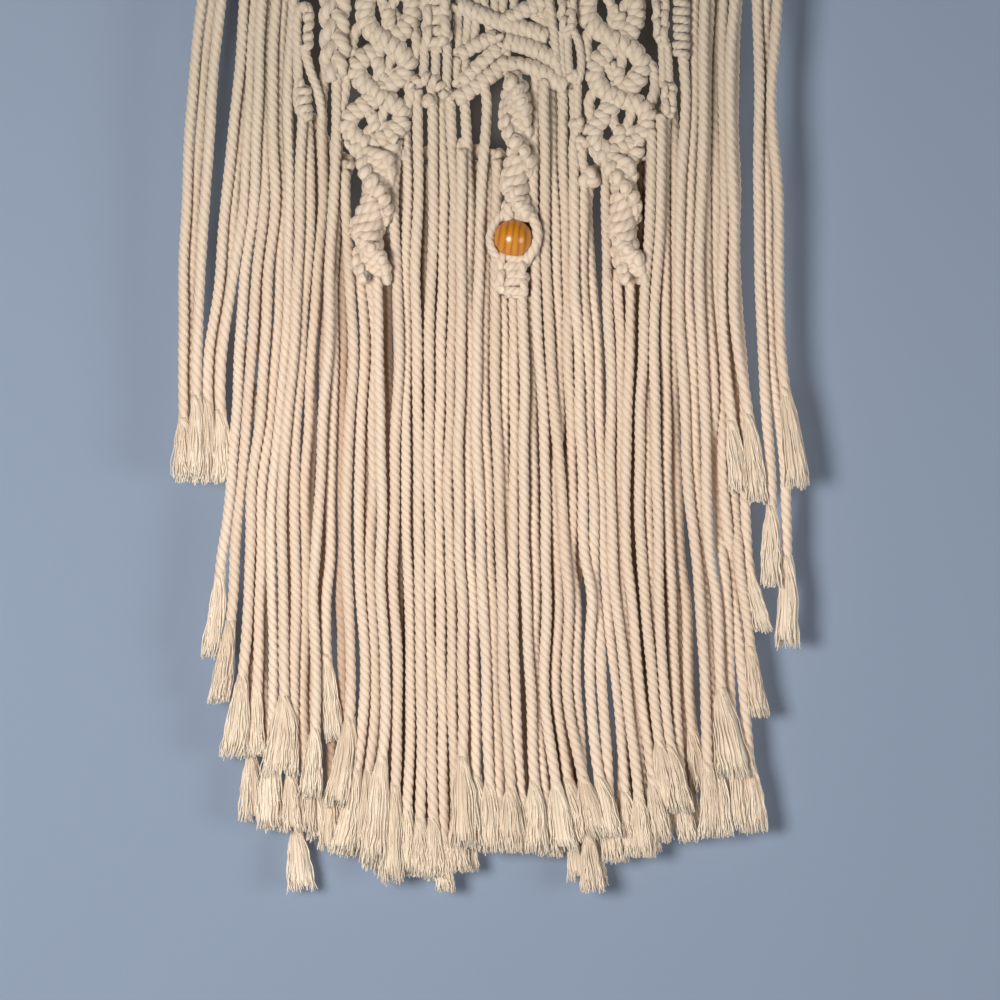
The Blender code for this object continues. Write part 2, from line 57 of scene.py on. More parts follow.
MARK = 0.5  # mm, one mark of the ruled sheet
MIDDLE = 500  # the mark at the middle of the hanging
FIRST_DROP = 12.0  # mm from the top edge to the sheet's down 0
CORD = 5.6  # mm, thickness of the cord
LAY = 12.5  # mm of cord for one full turn of its strands
TOP = -8  # down mark where cords leave the top row
STEP = 5  # marks between the points of a hanging cord
LEVELS = (100, 200, 280, 350, 420, 490, 560, 600, 700)

FORE, FRONT, MID, BACK = -5.0, -2.6, 0.0, 3.2  # mm, the layers the cords hang in
FRAY = 54  # marks, usual length of a frayed end

# One cord, in marks: its top (across, down), where it passes the levels, its tip (across, down), its
# layer in mm, and how wide and how long its frayed end is.
Hanging = namedtuple("Hanging", "start top across end tip layer width fray", defaults=(FRONT, 24, FRAY))

FRINGE = {}
FRINGE["left_outer_cords"] = (
    (203, TOP, (192, 187, 184, 184, 184), 183, 476),
    (213, TOP, (202, 196, 191, 190, 190), 189, 480, MID),
    (222, TOP, (212, 206, 200, 198, 197), 197, 478, FORE, 22, 74),
)
FRINGE["left_fringe"] = (
    (246, TOP, (237, 226, 220, 210, 207), 205, 480, FRONT, 24, 80),
    (250, TOP, (243, 235, 229, 217, 214), 214, 481, MID, 22, 76),
    (255, TOP, (250, 245, 233, 222, 221), 222, 483, FRONT, 20, 66),
    (262, TOP, (258, 254, 244, 240, 236, 231, 222, 218), 208, 657, FRONT, 18, 78),
    (267, TOP, (265, 265, 256, 252, 247, 240, 235, 233), 221, 704, FRONT, 24, 76),
    (276, TOP, (272, 275, 268, 265, 260, 252, 250, 249, 241), 236, 757, FRONT, 28, 74),
    (285, TOP, (279, 283, 280, 277, 270, 261, 261, 260, 257), 257, 757, MID, 18, 64),
    (294, TOP, (288, 290, 289, 286, 280, 272, 272, 272, 274), 266, 826, FRONT, 26, 70),
)
FRINGE["left_centre_fringe"] = (
    (303, 106, (300, 298, 294, 288, 282, 283, 283, 285), 279, 776, FORE, 40, 76),
    (306, 108, (311, 306, 301, 297, 294, 296, 296, 294), 290, 834),
    (327, 56, (322, 323, 317, 312, 309, 305, 306, 306, 303), 309, 832, MID),
    (337, 66, (337, 334, 329, 329, 323, 320, 316, 313, 317), 311, 798, FORE, 22, 62),
    (338, 120, (337, 333, 334, 332, 331, 330, 326, 329), 333, 742, MID, 20, 80),
)
FRINGE["left_spiral_fringe"] = (
    (347, 166, (345, 350, 353, 350, 346, 347, 348, 351), 338, 806, FRONT, 32, 84),
    (358, 270, (360, 366, 361, 359, 360, 361, 365), 345, 850, MID, 28, 76),
    (367, 270, (371, 375, 373, 373, 370, 371, 376), 359, 856, MID, 26, 80),
    (377, 270, (377, 379, 380, 382, 381, 381, 386), 374, 862, FORE, 30, 100),
    (398, 138, (394, 397, 400, 396, 395, 393, 394, 398), 391, 880, FRONT, 26, 92),
)
FRINGE["centre_left_fringe"] = (
    (405, 122, (408, 407, 407, 406, 406, 408, 409, 411), 405, 874, MID, 22, 60),
    (420, 86, (418, 418, 415, 417, 418, 419, 420, 420, 422), 420, 878),
    (431, 84, (432, 434, 431, 429, 429, 429, 430, 429, 431), 434, 876),
    (440, 88, (442, 444, 443, 441, 440, 439, 439, 440, 442), 444, 893, MID, 20, 50),
    (447, 88, (450, 454, 453, 452, 450, 448, 450, 452, 452), 459, 872, FRONT, 22, 48),
    (462, 148, (461, 461, 461, 459, 458, 460, 462, 463), 463, 848, FORE, 32, 84),
    (463, 90, (464, 470, 468, 471, 469, 469, 470, 473, 475), 478, 848, FRONT, 28, 66),
    (479, 76, (487, 481, 479, 477, 476, 479, 481, 483, 487), 491, 852, FORE, 28, 62),
    (488, 150, (488, 486, 484, 485, 489, 490, 493, 496), 503, 853),
    (496, 156, (497, 495, 495, 496, 499, 501, 502, 505), 515, 851, FORE, 26, 60),
)
FRINGE["centre_fringe"] = (
    (504, 292, (505, 505, 506, 507, 507, 509), 510, 840, MID),
    (512, 292, (514, 514, 514, 512, 513, 515), 525, 853),
    (521, 292, (524, 524, 523, 525, 526, 531), 537, 854, FORE, 26, 66),
    (528, 292, (531, 533, 534, 536, 536, 537), 551, 856, MID),
)
FRINGE["centre_right_fringe"] = (
    (536, 72, (536, 533, 536, 538, 544, 545, 546, 547, 545), 566, 853, FORE, 28, 66),
    (545, 76, (543, 545, 546, 550, 555, 561, 566, 569, 568), 596, 838, FORE, 28, 56),
    (553, 82, (551, 555, 558, 560, 560, 554, 558, 560, 557), 580, 843, MID, 32, 58),
    (562, 86, (562, 564, 567, 568, 571, 573, 571, 576, 577), 592, 890, FRONT, 28, 52),
    (571, 88, (574, 575, 574, 578, 580, 583, 585, 592, 590), 609, 839, FRONT, 28, 56),
    (579, 166, (583, 582, 588, 588, 593, 594, 597, 603), 613, 864, FRONT, 24, 58),
    (588, 178, (586, 591, 598, 599, 603, 604, 607, 618), 632, 857, MID, 24, 60),
)
FRINGE["right_spiral_fringe"] = (
    (606, 156, (606, 607, 610, 611, 610, 613, 616, 628), 645, 857, FRONT, 22, 60),
    (620, 270, (616, 621, 622, 619, 620, 623, 634), 650, 850, MID, 22, 60),
    (628, 270, (630, 630, 626, 625, 626, 631, 641), 662, 842, FRONT, 22, 60),
    (652, 126, (652, 646, 643, 640, 639, 641, 645, 654), 668, 813, FORE, 28, 64),
    (655, 128, (654, 650, 648, 648, 649, 650, 652, 657), 657, 842, MID, 22, 60),
    (660, 112, (659, 655, 653, 655, 657, 658, 659, 664), 682, 813, FORE, 26, 62),
    (666, 104, (666, 665, 665, 666, 667, 669, 672, 675), 686, 844, MID, 20, 56),
    (672, 100, (674, 673, 672, 674, 677, 681, 685, 689), 697, 794, BACK, 22, 56),
)
FRINGE["right_fringe"] = (
    (682, 48, (685, 680, 678, 681, 685, 688, 696, 700, 705), 711, 838, FORE, 22, 70),
    (695, TOP, (695, 690, 688, 692, 695, 698, 702, 706, 712), 722, 838, FRONT, 22, 70),
    (704, TOP, (703, 701, 698, 702, 705, 706, 710, 716, 722), 735, 776, FORE, 38, 84),
    (710, TOP, (707, 706, 707, 712, 715, 717, 724, 727, 731), 740, 833, MID, 26, 84),
    (716, TOP, (715, 717, 718, 721, 722, 723, 731, 735, 744), 757, 830, MID, 26, 66),
    (724, TOP, (723, 726, 721, 725, 731), 741, 491, FRONT, 20, 66),
    (734, TOP, (729, 733, 733, 737, 749, 758), 759, 500, FORE, 22, 80),
    (732, TOP, (731, 729, 729, 735, 735, 733, 739, 744, 757), 762, 717, MID, 20, 66),
    (737, TOP, (733, 735, 735, 741, 744, 744, 748, 755), 763, 632, MID, 20, 62),
)
FRINGE["right_outer_cords"] = (
    (757, TOP, (759, 758, 760, 762, 767, 771, 771), 771, 586, FRONT, 22, 74),
    (767, TOP, (766, 768, 769, 771, 779, 786, 787, 788), 788, 645, MID, 26, 84),
    (778, TOP, (771, 778, 779, 780, 790), 797, 488, FRONT, 26, 92),
)
FRINGE = {group: [Hanging(*row) for row in rows] for group, rows in FRINGE.items()}


def sheet(across, down, depth=0.0):
    """A place on the ruled sheet as x, y, z in millimetres from the middle of the top edge."""
    return np.array(((across - MIDDLE) * MARK, depth, -(FIRST_DROP + down * MARK)))


def distances(line):
    """How far along the line each of its points is."""
    return np.concatenate([[0], np.cumsum(np.linalg.norm(np.diff(line, axis=0), axis=1))])


def resample(line, run, marks):
    """The line's places at those marks of its run."""
    return np.stack([np.interp(marks, run, column) for column in line.T], axis=1)


def unit(rows):
    """The rows as directions of length 1."""
    return rows / (np.linalg.norm(rows, axis=1)[:, None] + 1e-12)


def smooth(points, spacing):
    """A smooth line through the points (rows of numbers), cut into steps of about that spacing."""
    points = np.asarray(points, float)
    padded = np.vstack([2 * points[0] - points[1], points, 2 * points[-1] - points[-2]])
    line = []
    for a, b, c, d in zip(padded, padded[1:], padded[2:], padded[3:]):
        count = max(2, int(np.linalg.norm(c - b) / spacing * 2))
        t = np.arange(count)[:, None] / count
        line.append(0.5 * (2 * b + (c - a) * t + (2 * a - 5 * b + 4 * c - d) * t ** 2
                           + (3 * b - a - 3 * c + d) * t ** 3))
    line.append(points[-1:])
    line = np.vstack(line)
    run = distances(line)
    return resample(line, run, np.linspace(0, run[-1], max(2, round(run[-1] / spacing)) + 1))


def hanging_line(cord):
    """The across mark of a hanging cord at every step down, from its top to its tip."""
    passed = [level for level in LEVELS if cord.top + 8 < level < cord.tip - 8]
    curve = smooth([(cord.start, cord.top), *zip(cord.across, passed), (cord.end, cord.tip)], 2.0)
    downs = np.arange(math.ceil(cord.top / STEP), math.floor(cord.tip / STEP) + 1) * STEP
    return downs, np.interp(downs, curve[:, 1], curve[:, 0])


SETTLING = 90  # rounds of nestling
APART_IN_DEPTH, APART_SIDEWAYS = 0.32, 0.10  # shares of an overlap that a round takes away
BACK_IN_DEPTH, BACK_SIDEWAYS = 0.02, 0.08  # shares of the way back to its own place
NEAREST, FURTHEST = -9.0, 8.0  # mm, the depths all cords stay between


def settle(cords):
    """Let neighbouring cords nestle: where two are closer than a cord's thickness, one moves to the front."""
    lines = [hanging_line(cord) for cord in cords]
    number = np.arange(len(cords))
    low = min(downs[0] for downs, _ in lines)
    rows = int((max(downs[-1] for downs, _ in lines) - low) / STEP) + 1
    starts = [int((downs[0] - low) / STEP) for downs, _ in lines]
    spans = [slice(start, start + len(downs)) for start, (downs, _) in zip(starts, lines)]
    x = np.full((rows, len(cords)), np.nan)
    for column, (_, across) in enumerate(lines):
        x[spans[column], column] = (across - MIDDLE) * MARK
    there = ~np.isnan(x)
    home = np.array([cord.layer for cord in cords])
    y = np.where(there, home + dice.normal(0, 0.25, (1, len(cords))), 0.0)
    x = np.where(there, x, 1e6 + 1e3 * number)
    x_home = x.copy()
    for _ in range(SETTLING):
        dx = x[:, :, None] - x[:, None, :]
        dy = y[:, :, None] - y[:, None, :]
        gap = np.sqrt(dx ** 2 + dy ** 2) + 1e-6
        short = np.clip(CORD * 0.99 - gap, 0, None)
        short[:, number, number] = 0
        way = np.where(np.abs(dy) < 0.05, np.sign(number[:, None] - number), dy / gap)
        y += (APART_IN_DEPTH * short * way).sum(2)
        x += (APART_SIDEWAYS * short * dx / gap).sum(2)
        y += BACK_IN_DEPTH * (home - y)
        x += BACK_SIDEWAYS * (x_home - x)
        for grid in (x, y):
            above, below = np.roll(grid, 1, 0), np.roll(grid, -1, 0)
            inner = there & np.roll(there, 1, 0) & np.roll(there, -1, 0)
            inner[0] = inner[-1] = False
            grid[inner] = (0.5 * grid + 0.25 * above + 0.25 * below)[inner]
        y = np.clip(y, NEAREST, FURTHEST)
    return [np.stack([x[span, column], y[span, column], -(FIRST_DROP + downs * MARK)], axis=1)
            for column, (span, (downs, _)) in enumerate(zip(spans, lines))]


def put(name, data, place=(0, 0, 0), turn=(0, 0, 0)):
    """A new object in the scene."""
    made = bpy.data.objects.new(name, data)
    made.location, made.rotation_euler = place, turn
    scene.collection.objects.link(made)
    return made


class Tangle:
    """The meshes of many cords, gathered into one object with a map of its own for every cord."""

    def __init__(self):
        self.points, self.quads, self.triangles = [], [], []
        self.quad_lay, self.quad_share, self.triangle_lay, self.tints = [], [], [], []
        self.count = 0

    def add(self, rings, along, tint, lobes=3.0):
        """A tube from rings of points (rows, sides, 3), with its distance along and a tint from 0 to 1."""
        rows, sides, _ = rings.shape
        number = np.arange(rows * sides).reshape(rows, sides) + self.count
        beside = np.roll(number, -1, axis=1)
        quads = np.stack([number[:-1], number[1:], beside[1:], beside[:-1]], axis=-1)
        self.points.append(rings.reshape(-1, 3))
        self.quads.append(quads.reshape(-1, 4))
        grid = np.stack(np.broadcast_arrays(along[:, None], np.arange(sides + 1) / sides), axis=-1)
        place = np.stack([grid[:-1, :-1], grid[1:, :-1], grid[1:, 1:], grid[:-1, 1:]], axis=2).reshape(-1, 2)
        self.quad_share.append(place - (along[0], 0))
        self.quad_lay.append(place * (1, lobes) if lobes else place * (1, 0) + (0, 0.5))
        self.tints.append(np.repeat(np.broadcast_to(tint, rows), sides))
        for ring, at, inward in ((number[0], along[0], 1), (number[-1], along[-1], -1)):
            fan = [(ring[0], ring[k], ring[k + 1])[::inward] for k in range(1, sides - 1)]
            self.triangles.append(np.array(fan))
            self.triangle_lay.append(np.full((len(fan) * 3, 2), (at, 0.5)))
        self.count += rows * sides

    def piece(self, name, *nodes, finish=None):
        """The gathered cords as one object that replaces the named CAD node."""
        points = np.vstack(self.points) * 0.001
        quads, triangles = np.vstack(self.quads), np.vstack(self.triangles)
        mesh = bpy.data.meshes.new(name)
        mesh.vertices.add(len(points))
        mesh.vertices.foreach_set("co", points.astype(np.float32).ravel())
        corners = np.concatenate([quads.ravel(), triangles.ravel()])
        mesh.loops.add(len(corners))
        mesh.loops.foreach_set("vertex_index", corners.astype(np.int32))
        sizes = np.concatenate([np.full(len(quads), 4), np.full(len(triangles), 3)])
        mesh.polygons.add(len(sizes))
        mesh.polygons.foreach_set("loop_start", (np.cumsum(sizes) - sizes).astype(np.int32))
        mesh.polygons.foreach_set("use_smooth", np.ones(len(sizes), bool))
        mesh.update(calc_edges=True)
        lay = np.vstack(self.quad_lay + self.triangle_lay)
        for layer, values in (("OFBake", self.bake_map(len(triangles))), ("Lay", lay)):
            mesh.uv_layers.new(name=layer).data.foreach_set("uv", values.astype(np.float32).ravel())
        tint = mesh.attributes.new("tint", "FLOAT", "POINT")
        tint.data.foreach_set("value", np.concatenate(self.tints).astype(np.float32))
        mesh.materials.append(finish or cotton)
        made = put(name, mesh)
        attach(made, "root")
        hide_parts(*nodes)

    def bake_map(self, triangle_count):
        """Every cord gets a strip of its own, folded into columns of equal length."""
        runs = [share[:, 0].max() for share in self.quad_share]
        columns = max(1, round(math.sqrt(sum(runs) / (CORD * math.pi))))
        column_run = sum(runs) / columns + max(runs) * 0.5
        uv, column, used = [], 0, 0.0
        for run, share in zip(runs, self.quad_share):
            if used + run > column_run and used > 0:
                column, used = column + 1, 0.0
            uv.append(share * (1, 0.92) + (used + 0.5, column + 0.04))
            used += run + 1.0
        uv = np.vstack(uv)
        uv[:, 0] /= max(column_run, uv[:, 0].max()) * 1.01
        uv[:, 1] /= column + 1
        return np.vstack([uv[:, ::-1], np.zeros((triangle_count * 3, 2)) + 0.0005])


def turning_frames(line, toward=None):
    """Two directions across a line at every point of it, that turn as little as they can."""
    along = unit(np.gradient(line, axis=0))
    if toward is None:
        out = np.zeros_like(line)
        first = np.array((0.0, -1.0, 0.0) if abs(along[0][1]) < 0.8 else (1.0, 0.0, 0.0))
        for row, way in enumerate(along):
            first = first - first.dot(way) * way
            first = first / np.linalg.norm(first)
            out[row] = first
    else:
        out = unit(toward - (toward * along).sum(1)[:, None] * along)
    return out, np.cross(along, out)


SIDES = 12  # points around a cord
SLACK_RUN = 60.0  # mm above a frayed end where the twist starts to loosen
TAPER = 7.0  # mm, where the last of the twisted cord thins inside the frayed end
VALLEY = 0.78  # how far out the groove between two strands lies, as a share


def lay_cord(tangle, line, thickness=CORD, tint=0.5, toward=None, flat=1.0, sides=SIDES, lay=LAY,
             valley=VALLEY, slack=0.0):
    """A twisted cord along a line (rows of x, y, z in mm): three strands that wind round each other.

    Slack is how far the twist has loosened at the end of the line, as a share."""
    run = distances(line)
    out, beside = turning_frames(line, toward)
    lobe = np.arange(sides) / sides * tau
    swell = 1 - (1 - valley) * (0.5 + 0.5 * np.cos(3 * lobe)) ** 1.5
    loose = 1 + slack * np.clip((run - run[-1]) / SLACK_RUN + 1, 0, 1) ** 2
    turned = np.concatenate([[0], np.cumsum(np.diff(run) / loose[1:])])
    turn = -turned / lay * tau * CORD / thickness + dice.uniform(0, tau)
    angle = lobe[None, :] + turn[:, None]
    fat = 1 + 0.025 * np.sin(run / 9.0 + dice.uniform(0, 9)) + dice.normal(0, 0.008, len(run))
    if slack:
        fat -= 0.5 * np.clip((run - run[-1]) / TAPER + 1, 0, 1) ** 2
    reach = thickness / 2 * fat[:, None] * swell[None, :]
    rings = (line[:, None, :] + (reach * np.cos(angle) * flat)[:, :, None] * out[:, None, :]
             + (reach * np.sin(angle))[:, :, None] * beside[:, None, :])
    tangle.add(rings, run + dice.uniform(0, 400), tint)


YARNS = 64  # yarns that show in a frayed end
YARN = 0.86  # mm, thickness of a yarn
YARN_ROWS, CORE_SIDES = 9, 12  # points along a yarn, and around the core that they hide


def fray(tangle, line, width, tint, yarns=YARNS):
    """A frayed end: the cord's yarns let go and spread along the last of its line."""
    share = np.linspace(0, 1, YARN_ROWS)
    centre = resample(line, np.linspace(0, 1, len(line)), share)
    length = np.linalg.norm(line[-1] - line[0])
    centre[:, 0] += dice.normal(0, 0.8) * share ** 2
    opened = (0.3 * np.clip(share * 3, 0, 1) + 0.7 * share ** 0.9)[:, None]
    around = np.arange(CORE_SIDES) / CORE_SIDES * tau
    closed = CORD * 0.43
    wide, deep = (closed + (end - closed) * opened for end in (width * 0.40, min(3.4, width * 0.24)))
    core = centre[:, None, :] + np.stack([wide * np.cos(around), deep * np.sin(around),
                                          np.zeros((YARN_ROWS, CORE_SIDES))], axis=2)
    core[-1] = centre[-1] + (core[-1] - centre[-1]) * 0.7
    core[:, :, 2] += 0.06 * length * share[:, None]
    tangle.add(core, share * length + dice.uniform(0, 400), tint - 0.3 + 0.6 * share, lobes=15)
    for yarn in range(yarns):
        angle = dice.uniform(0, tau)
        spot = math.sqrt(dice.uniform(0.3, 1))
        outer = np.array((cos(angle) * width / 2, sin(angle) * min(4.2, width * 0.3))) * spot
        outer += dice.normal(0, 0.35, 2)
        swirl = angle - 1.1 * (1 - share) ** 2
        inner = np.stack([np.cos(swirl), np.sin(swirl)], axis=1) * spot * (CORD / 2 - 0.3)
        offset = inner * (1 - opened) + outer * opened
        wave = dice.uniform(1.2, 3.6)
        phase = dice.uniform(0, tau, 2)
        crimp = 0.62 * np.sin(share[:, None] * wave * tau + phase) * (0.3 + 0.7 * share[:, None])
        place = centre.copy()
        place[:, :2] += offset + crimp
        place[:, 2] -= share * dice.normal(0, 0.022) * length + share * 0.4
        thick = YARN / 2 * (1.0 - 0.3 * share) * dice.uniform(0.8, 1.25)
        twist = np.arange(3) / 3 * tau + dice.uniform(0, 2)
        ring = np.stack([np.cos(twist), np.sin(twist), np.zeros(3)], axis=1)
        rings = place[:, None, :] + thick[:, None, None] * ring[None, :, :]
        shade = np.clip(tint - 0.1 + 0.7 * share ** 1.4 + dice.normal(0, 0.22), 0, 1)
        tangle.add(rings, share * length + dice.uniform(0, 400), shade, lobes=0)


class Value:
    """A shader value. Sums and products of values add their own Math nodes."""

    def __init__(self, finish, node, output=0):
        self.finish, self.node, self.socket = finish, node, node.outputs[output]

    def output(self, number):
        """Another output of the same node."""
        return Value(self.finish, self.node, number)

    def math(self, operation, *others):
        return self.finish.add("Math", dict(enumerate((self, *others))), operation=operation)

    def __add__(self, other):
        return self.math("ADD", other)

    def __mul__(self, other):
        return self.math("MULTIPLY", other)

    def __sub__(self, other):
        return self.math("SUBTRACT", other)

    def __rsub__(self, other):
        return self.finish.add("Math", {0: other, 1: self}, operation="SUBTRACT")

    __radd__, __rmul__ = __add__, __mul__


class Finish:
    """A material made of nodes: a principled shader, and what feeds it. Colours are red, green, blue."""

    def __init__(self, name, **shader):
        self.material = bpy.data.materials.new(name)
        self.material.use_nodes = True
        self.nodes = self.material.node_tree.nodes
        self.links = self.material.node_tree.links
        self.shader = self.nodes["Principled BSDF"]
        self.feed(self.shader, shader)

    def feed(self, node, sockets):
        for name, value in sockets.items():
            socket = node.inputs[name if isinstance(name, int) else name.replace("_", " ")]
            if isinstance(value, Value):
                self.links.new(value.socket, socket)
            else:
                socket.default_value = (*value, 1.0) if isinstance(value, tuple) else value

    def add(self, kind, sockets=None, output=0, **settings):
        """A node of that type, with its settings made first and then its sockets' values or links."""
        node = self.nodes.new("ShaderNode" + kind)
        for name, value in settings.items():
            setattr(node, name, value)
        self.feed(node, sockets or {})
        return Value(self, node, output)

    def mix(self, factor, low, high):
        """A colour between two, by a factor from 0 to 1."""
        return self.add("Mix", {0: factor, 6: low, 7: high}, 2, data_type="RGBA")


TOP_SHADE = (0.50, 0.44, 0.345)  # painted shade: the greyer, darker colour the cotton is given towards the top, where the light falls off


def cotton_finish(name, pale, shaded, groove_shade, groove_shade_strength=0.34):
    """Natural cotton: yarn lines along each strand, soft grooves with painted shade, a little fuzz, uneven
    colour, and a painted greyer shade towards the top.
    """
    finish = Finish(name, Roughness=0.92, Sheen_Weight=0.25, Sheen_Roughness=0.6, Specular_IOR_Level=0.25)
    lay = finish.add("UVMap", uv_map="Lay")
    place = finish.add("TexCoord", output=3)
    along = finish.add("SeparateXYZ", {0: lay})
    around = along.output(1)
    groove = ((around * tau).math("COSINE") * 0.5 + 0.5).math("POWER", 3.2)
    lines = (around * (5 * tau) + along * 0.9).math("COSINE") * 0.5 + 0.5
    yarn_place = finish.add("CombineXYZ", {0: along * 0.5 + around * 1.2, 1: around * 6.5})
    yarns = finish.add("TexNoise", {"Vector": yarn_place, "Scale": 1.0, "Detail": 2.0, "Roughness": 0.6},
                       noise_dimensions="2D")
    mottle = finish.add("TexNoise", {"Vector": place, "Scale": 160.0, "Detail": 3.0})
    broad = finish.add("TexNoise", {"Vector": place, "Scale": 14.0, "Detail": 2.0})
    fuzz = finish.add("TexNoise", {"Vector": place, "Scale": 1500.0, "Detail": 2.0})
    tint = finish.add("Attribute", output=2, attribute_name="tint")
    blend = tint * 0.55 + yarns * 0.35 + mottle * 0.35 + broad * 0.3 - 0.33
    base = finish.mix(blend, shaded, pale)
    # Painted shade: towards the top of the hanging the cotton is mixed greyer and darker, as the light falls
    # off there.
    height = finish.add("SeparateXYZ", {0: place}).output(2)
    clear_of_top_shade = finish.add("MapRange", {0: height, 1: -0.04, 2: -0.19})
    base = finish.mix(clear_of_top_shade, finish.mix(0.78, base, TOP_SHADE), base)
    # Painted shade: the grooves between the strands, and faintly the lines between the yarns, are mixed
    # towards a darker brown.
    base = finish.mix(groove * groove_shade_strength + lines * 0.10, base, groove_shade)
    relief = yarns * 0.5 + fuzz * 0.4 + mottle * 0.3 - groove * 0.6 - lines * 0.25
    bump = finish.add("Bump", {"Strength": 0.6, "Distance": 0.0007, "Height": relief})
    finish.feed(finish.shader, {"Base Color": base, "Normal": bump})
    return finish.material


cotton = cotton_finish("natural_cotton_cord", (0.86, 0.73, 0.597), (0.67, 0.505, 0.376), (0.38, 0.228, 0.132))
# Painted shade: the back cords get a darker, warmer copy of the cotton, as they hang in the shade of the
# front ones.
back_cotton_in_shade = cotton_finish("back_cotton_cord_painted_shade", (0.68, 0.515, 0.395), (0.51, 0.345, 0.24),
                            (0.28, 0.145, 0.075))
frayed_cotton = cotton_finish("frayed_cotton_yarn", (0.97, 0.855, 0.70), (0.60, 0.455, 0.325),
                              (0.40, 0.245, 0.13), 0.5)


# ---
# The back fringe: cords of the same cotton that hang behind the front ones from
# the hitched row at the back, and show only through its gaps and at its foot.
# Their cotton is painted darker and warmer, as shade behind the front cords.

BACK_FRINGE = (
    (268, TOP, (262, 250, 245, 241, 260, 256, 252, 250, 250), 252, 823, 28, 60),
    (282, TOP, (276, 268, 264, 262, 264, 262, 262, 262, 264), 275, 832, 28, 60),
    (305, 110, (300, 296, 290, 288, 286, 288, 288, 290), 299, 890, 30, 56),
    (318, 134, (316, 314, 312, 311, 309, 309, 309, 312), 318, 842, 26, 56),
    (332, 154, (330, 327, 324, 323, 322, 322, 322, 330), 331, 850, 26, 56),
    (366, 172, (366, 368, 370, 368, 365, 365, 365, 368), 352, 852),
    (345, 168, (343, 342, 343, 342, 342, 342, 341, 343), 350, 856),
    (378, 170, (382, 386, 388, 388, 388, 388, 386, 384), 376, 872),
    (404, 166, (401, 398, 397, 399, 400, 399, 398, 396), 386, 876),
    (416, 164, (414, 411, 411, 412, 413, 414, 410, 410), 404, 876),
    (428, 162, (425, 424, 423, 424, 424, 425, 425, 426), 426, 874),
    (440, 159, (439, 437, 435, 435, 434, 435, 435, 436), 438, 880),
    (452, 156, (449, 447, 446, 445, 443, 445, 445, 447), 450, 872),
    (475, 157, (475, 470, 465, 464, 463, 465, 466, 468), 466, 872, 22, 56),
    (510, 166, (510, 506, 501, 498, 494, 496, 497, 500), 498, 846),
    (522, 168, (521, 516, 511, 510, 508, 507, 507, 510), 514, 850),
    (534, 169, (532, 526, 520, 519, 518, 518, 518, 513), 527, 848),
    (548, 170, (549, 546, 544, 542, 540, 541, 541, 541), 544, 852),
    (560, 172, (559, 557, 555, 552, 549, 552, 552, 550), 557, 848),
    (572, 174, (570, 571, 572, 570, 568, 566, 565, 562), 580, 884),
    (583, 176, (579, 580, 582, 580, 579, 578, 574, 573), 598, 886),
    (614, 172, (614, 612, 612, 611, 608, 609, 611, 624), 620, 862),
    (626, 166, (626, 624, 622, 620, 618, 620, 623, 635), 640, 834),
    (638, 160, (638, 637, 635, 633, 632, 634, 638, 648), 655, 834),
    (648, 144, (649, 649, 648, 646, 644, 647, 652, 660), 668, 832),
    (658, 128, (660, 659, 657, 655, 653, 657, 665, 670), 678, 834),
    (668, 112, (668, 666, 664, 663, 662, 665, 678, 682), 692, 832, 22, 56),
)
BACK_FRINGE = [Hanging(*row[:5], BACK, *(row[5:] or (24, 56))) for row in BACK_FRINGE]

FURTHER = 6.5  # mm, the cords behind those, that only fill the gaps
BACK_FRINGE += [
    Hanging(left.start + 6, max(left.top, right.top) + 2,
            [round((a + b) / 2) for a, b in zip(left.across, right.across)],
            (left.end + right.end) / 2, min(left.tip, right.tip) - 14, FURTHER, 22, 50)
    for left, right in zip(BACK_FRINGE[6:], BACK_FRINGE[7:]) if 5 < right.start - left.start < 25]

every_cord = sum(FRINGE.values(), []) + BACK_FRINGE
lines = dict(zip(map(id, every_cord), settle(every_cord)))


def make_fringe(name, node, cords, finish=None, sides=SIDES, spacing=1.6, yarns=YARNS):
    """One group of hanging cords and their frayed ends."""
    tangle, ends = Tangle(), Tangle()
    for cord in cords:
        whole = smooth(lines[id(cord)], spacing)
        whole[:, 0] += 0.22 * np.sin(whole[:, 2] / dice.uniform(8, 13) + dice.uniform(0, 9))
        cut = int(np.searchsorted(-whole[:, 2], -(whole[-1][2] + cord.fray * MARK)))
        tint = np.clip(0.5 + dice.normal(0, 0.16), 0.1, 0.9)
        lay = LAY * dice.uniform(0.88, 1.14)
        lay_cord(tangle, whole[:cut + 5], tint=tint, sides=sides, lay=lay, slack=0.5)
        fray(ends, whole[max(0, cut - 2):], cord.width * MARK, tint, yarns)
    tangle.piece(name, node, finish=finish)
    ends.piece(name.replace("cords", "tassels"), node, finish=frayed_cotton)


for group, cords in FRINGE.items():
    make_fringe(group.replace("_outer_cords", "_outer_fringe") + "_cords", group, cords)
make_fringe("back_fringe_cords", "back_fringe", BACK_FRINGE, back_cotton_in_shade, sides=9, spacing=1.9, yarns=36)


# ---
# The rows of hitches: the top row that the piece hangs by, and the low row at
# the back. Every cord goes round a carrier cord twice, side by side, and down.

HITCH = 4.3  # mm along the carrier for one turn of cord
ROPE = 4.5  # mm, width of a cord pulled tight in a knot
TIGHT = 0.72  # how much thinner than wide it is pressed there
TURN_POINTS = 12  # points of the line for one turn
KNOT_SIDES = 9
KNOT_LAY, KNOT_VALLEY = 11.0, 0.87  # mm, one turn of the strands there, and how deep their grooves are
HEADER_DEPTH, NET_DEPTH, BACK_DEPTH = 0.0, -3.6, 4.6


def route(points, depth):
    """A line on the ruled sheet at one depth, or with a depth of its own for every point."""
    return np.array([sheet(*point[:2], point[2] if len(point) > 2 else depth) for point in points])


def knot_cord(tangle, line, rope, tint, valley=KNOT_VALLEY, **shape):
    """A cord pulled tight in a knot."""
    lay_cord(tangle, line, rope, tint, sides=KNOT_SIDES, lay=KNOT_LAY, valley=valley, **shape)


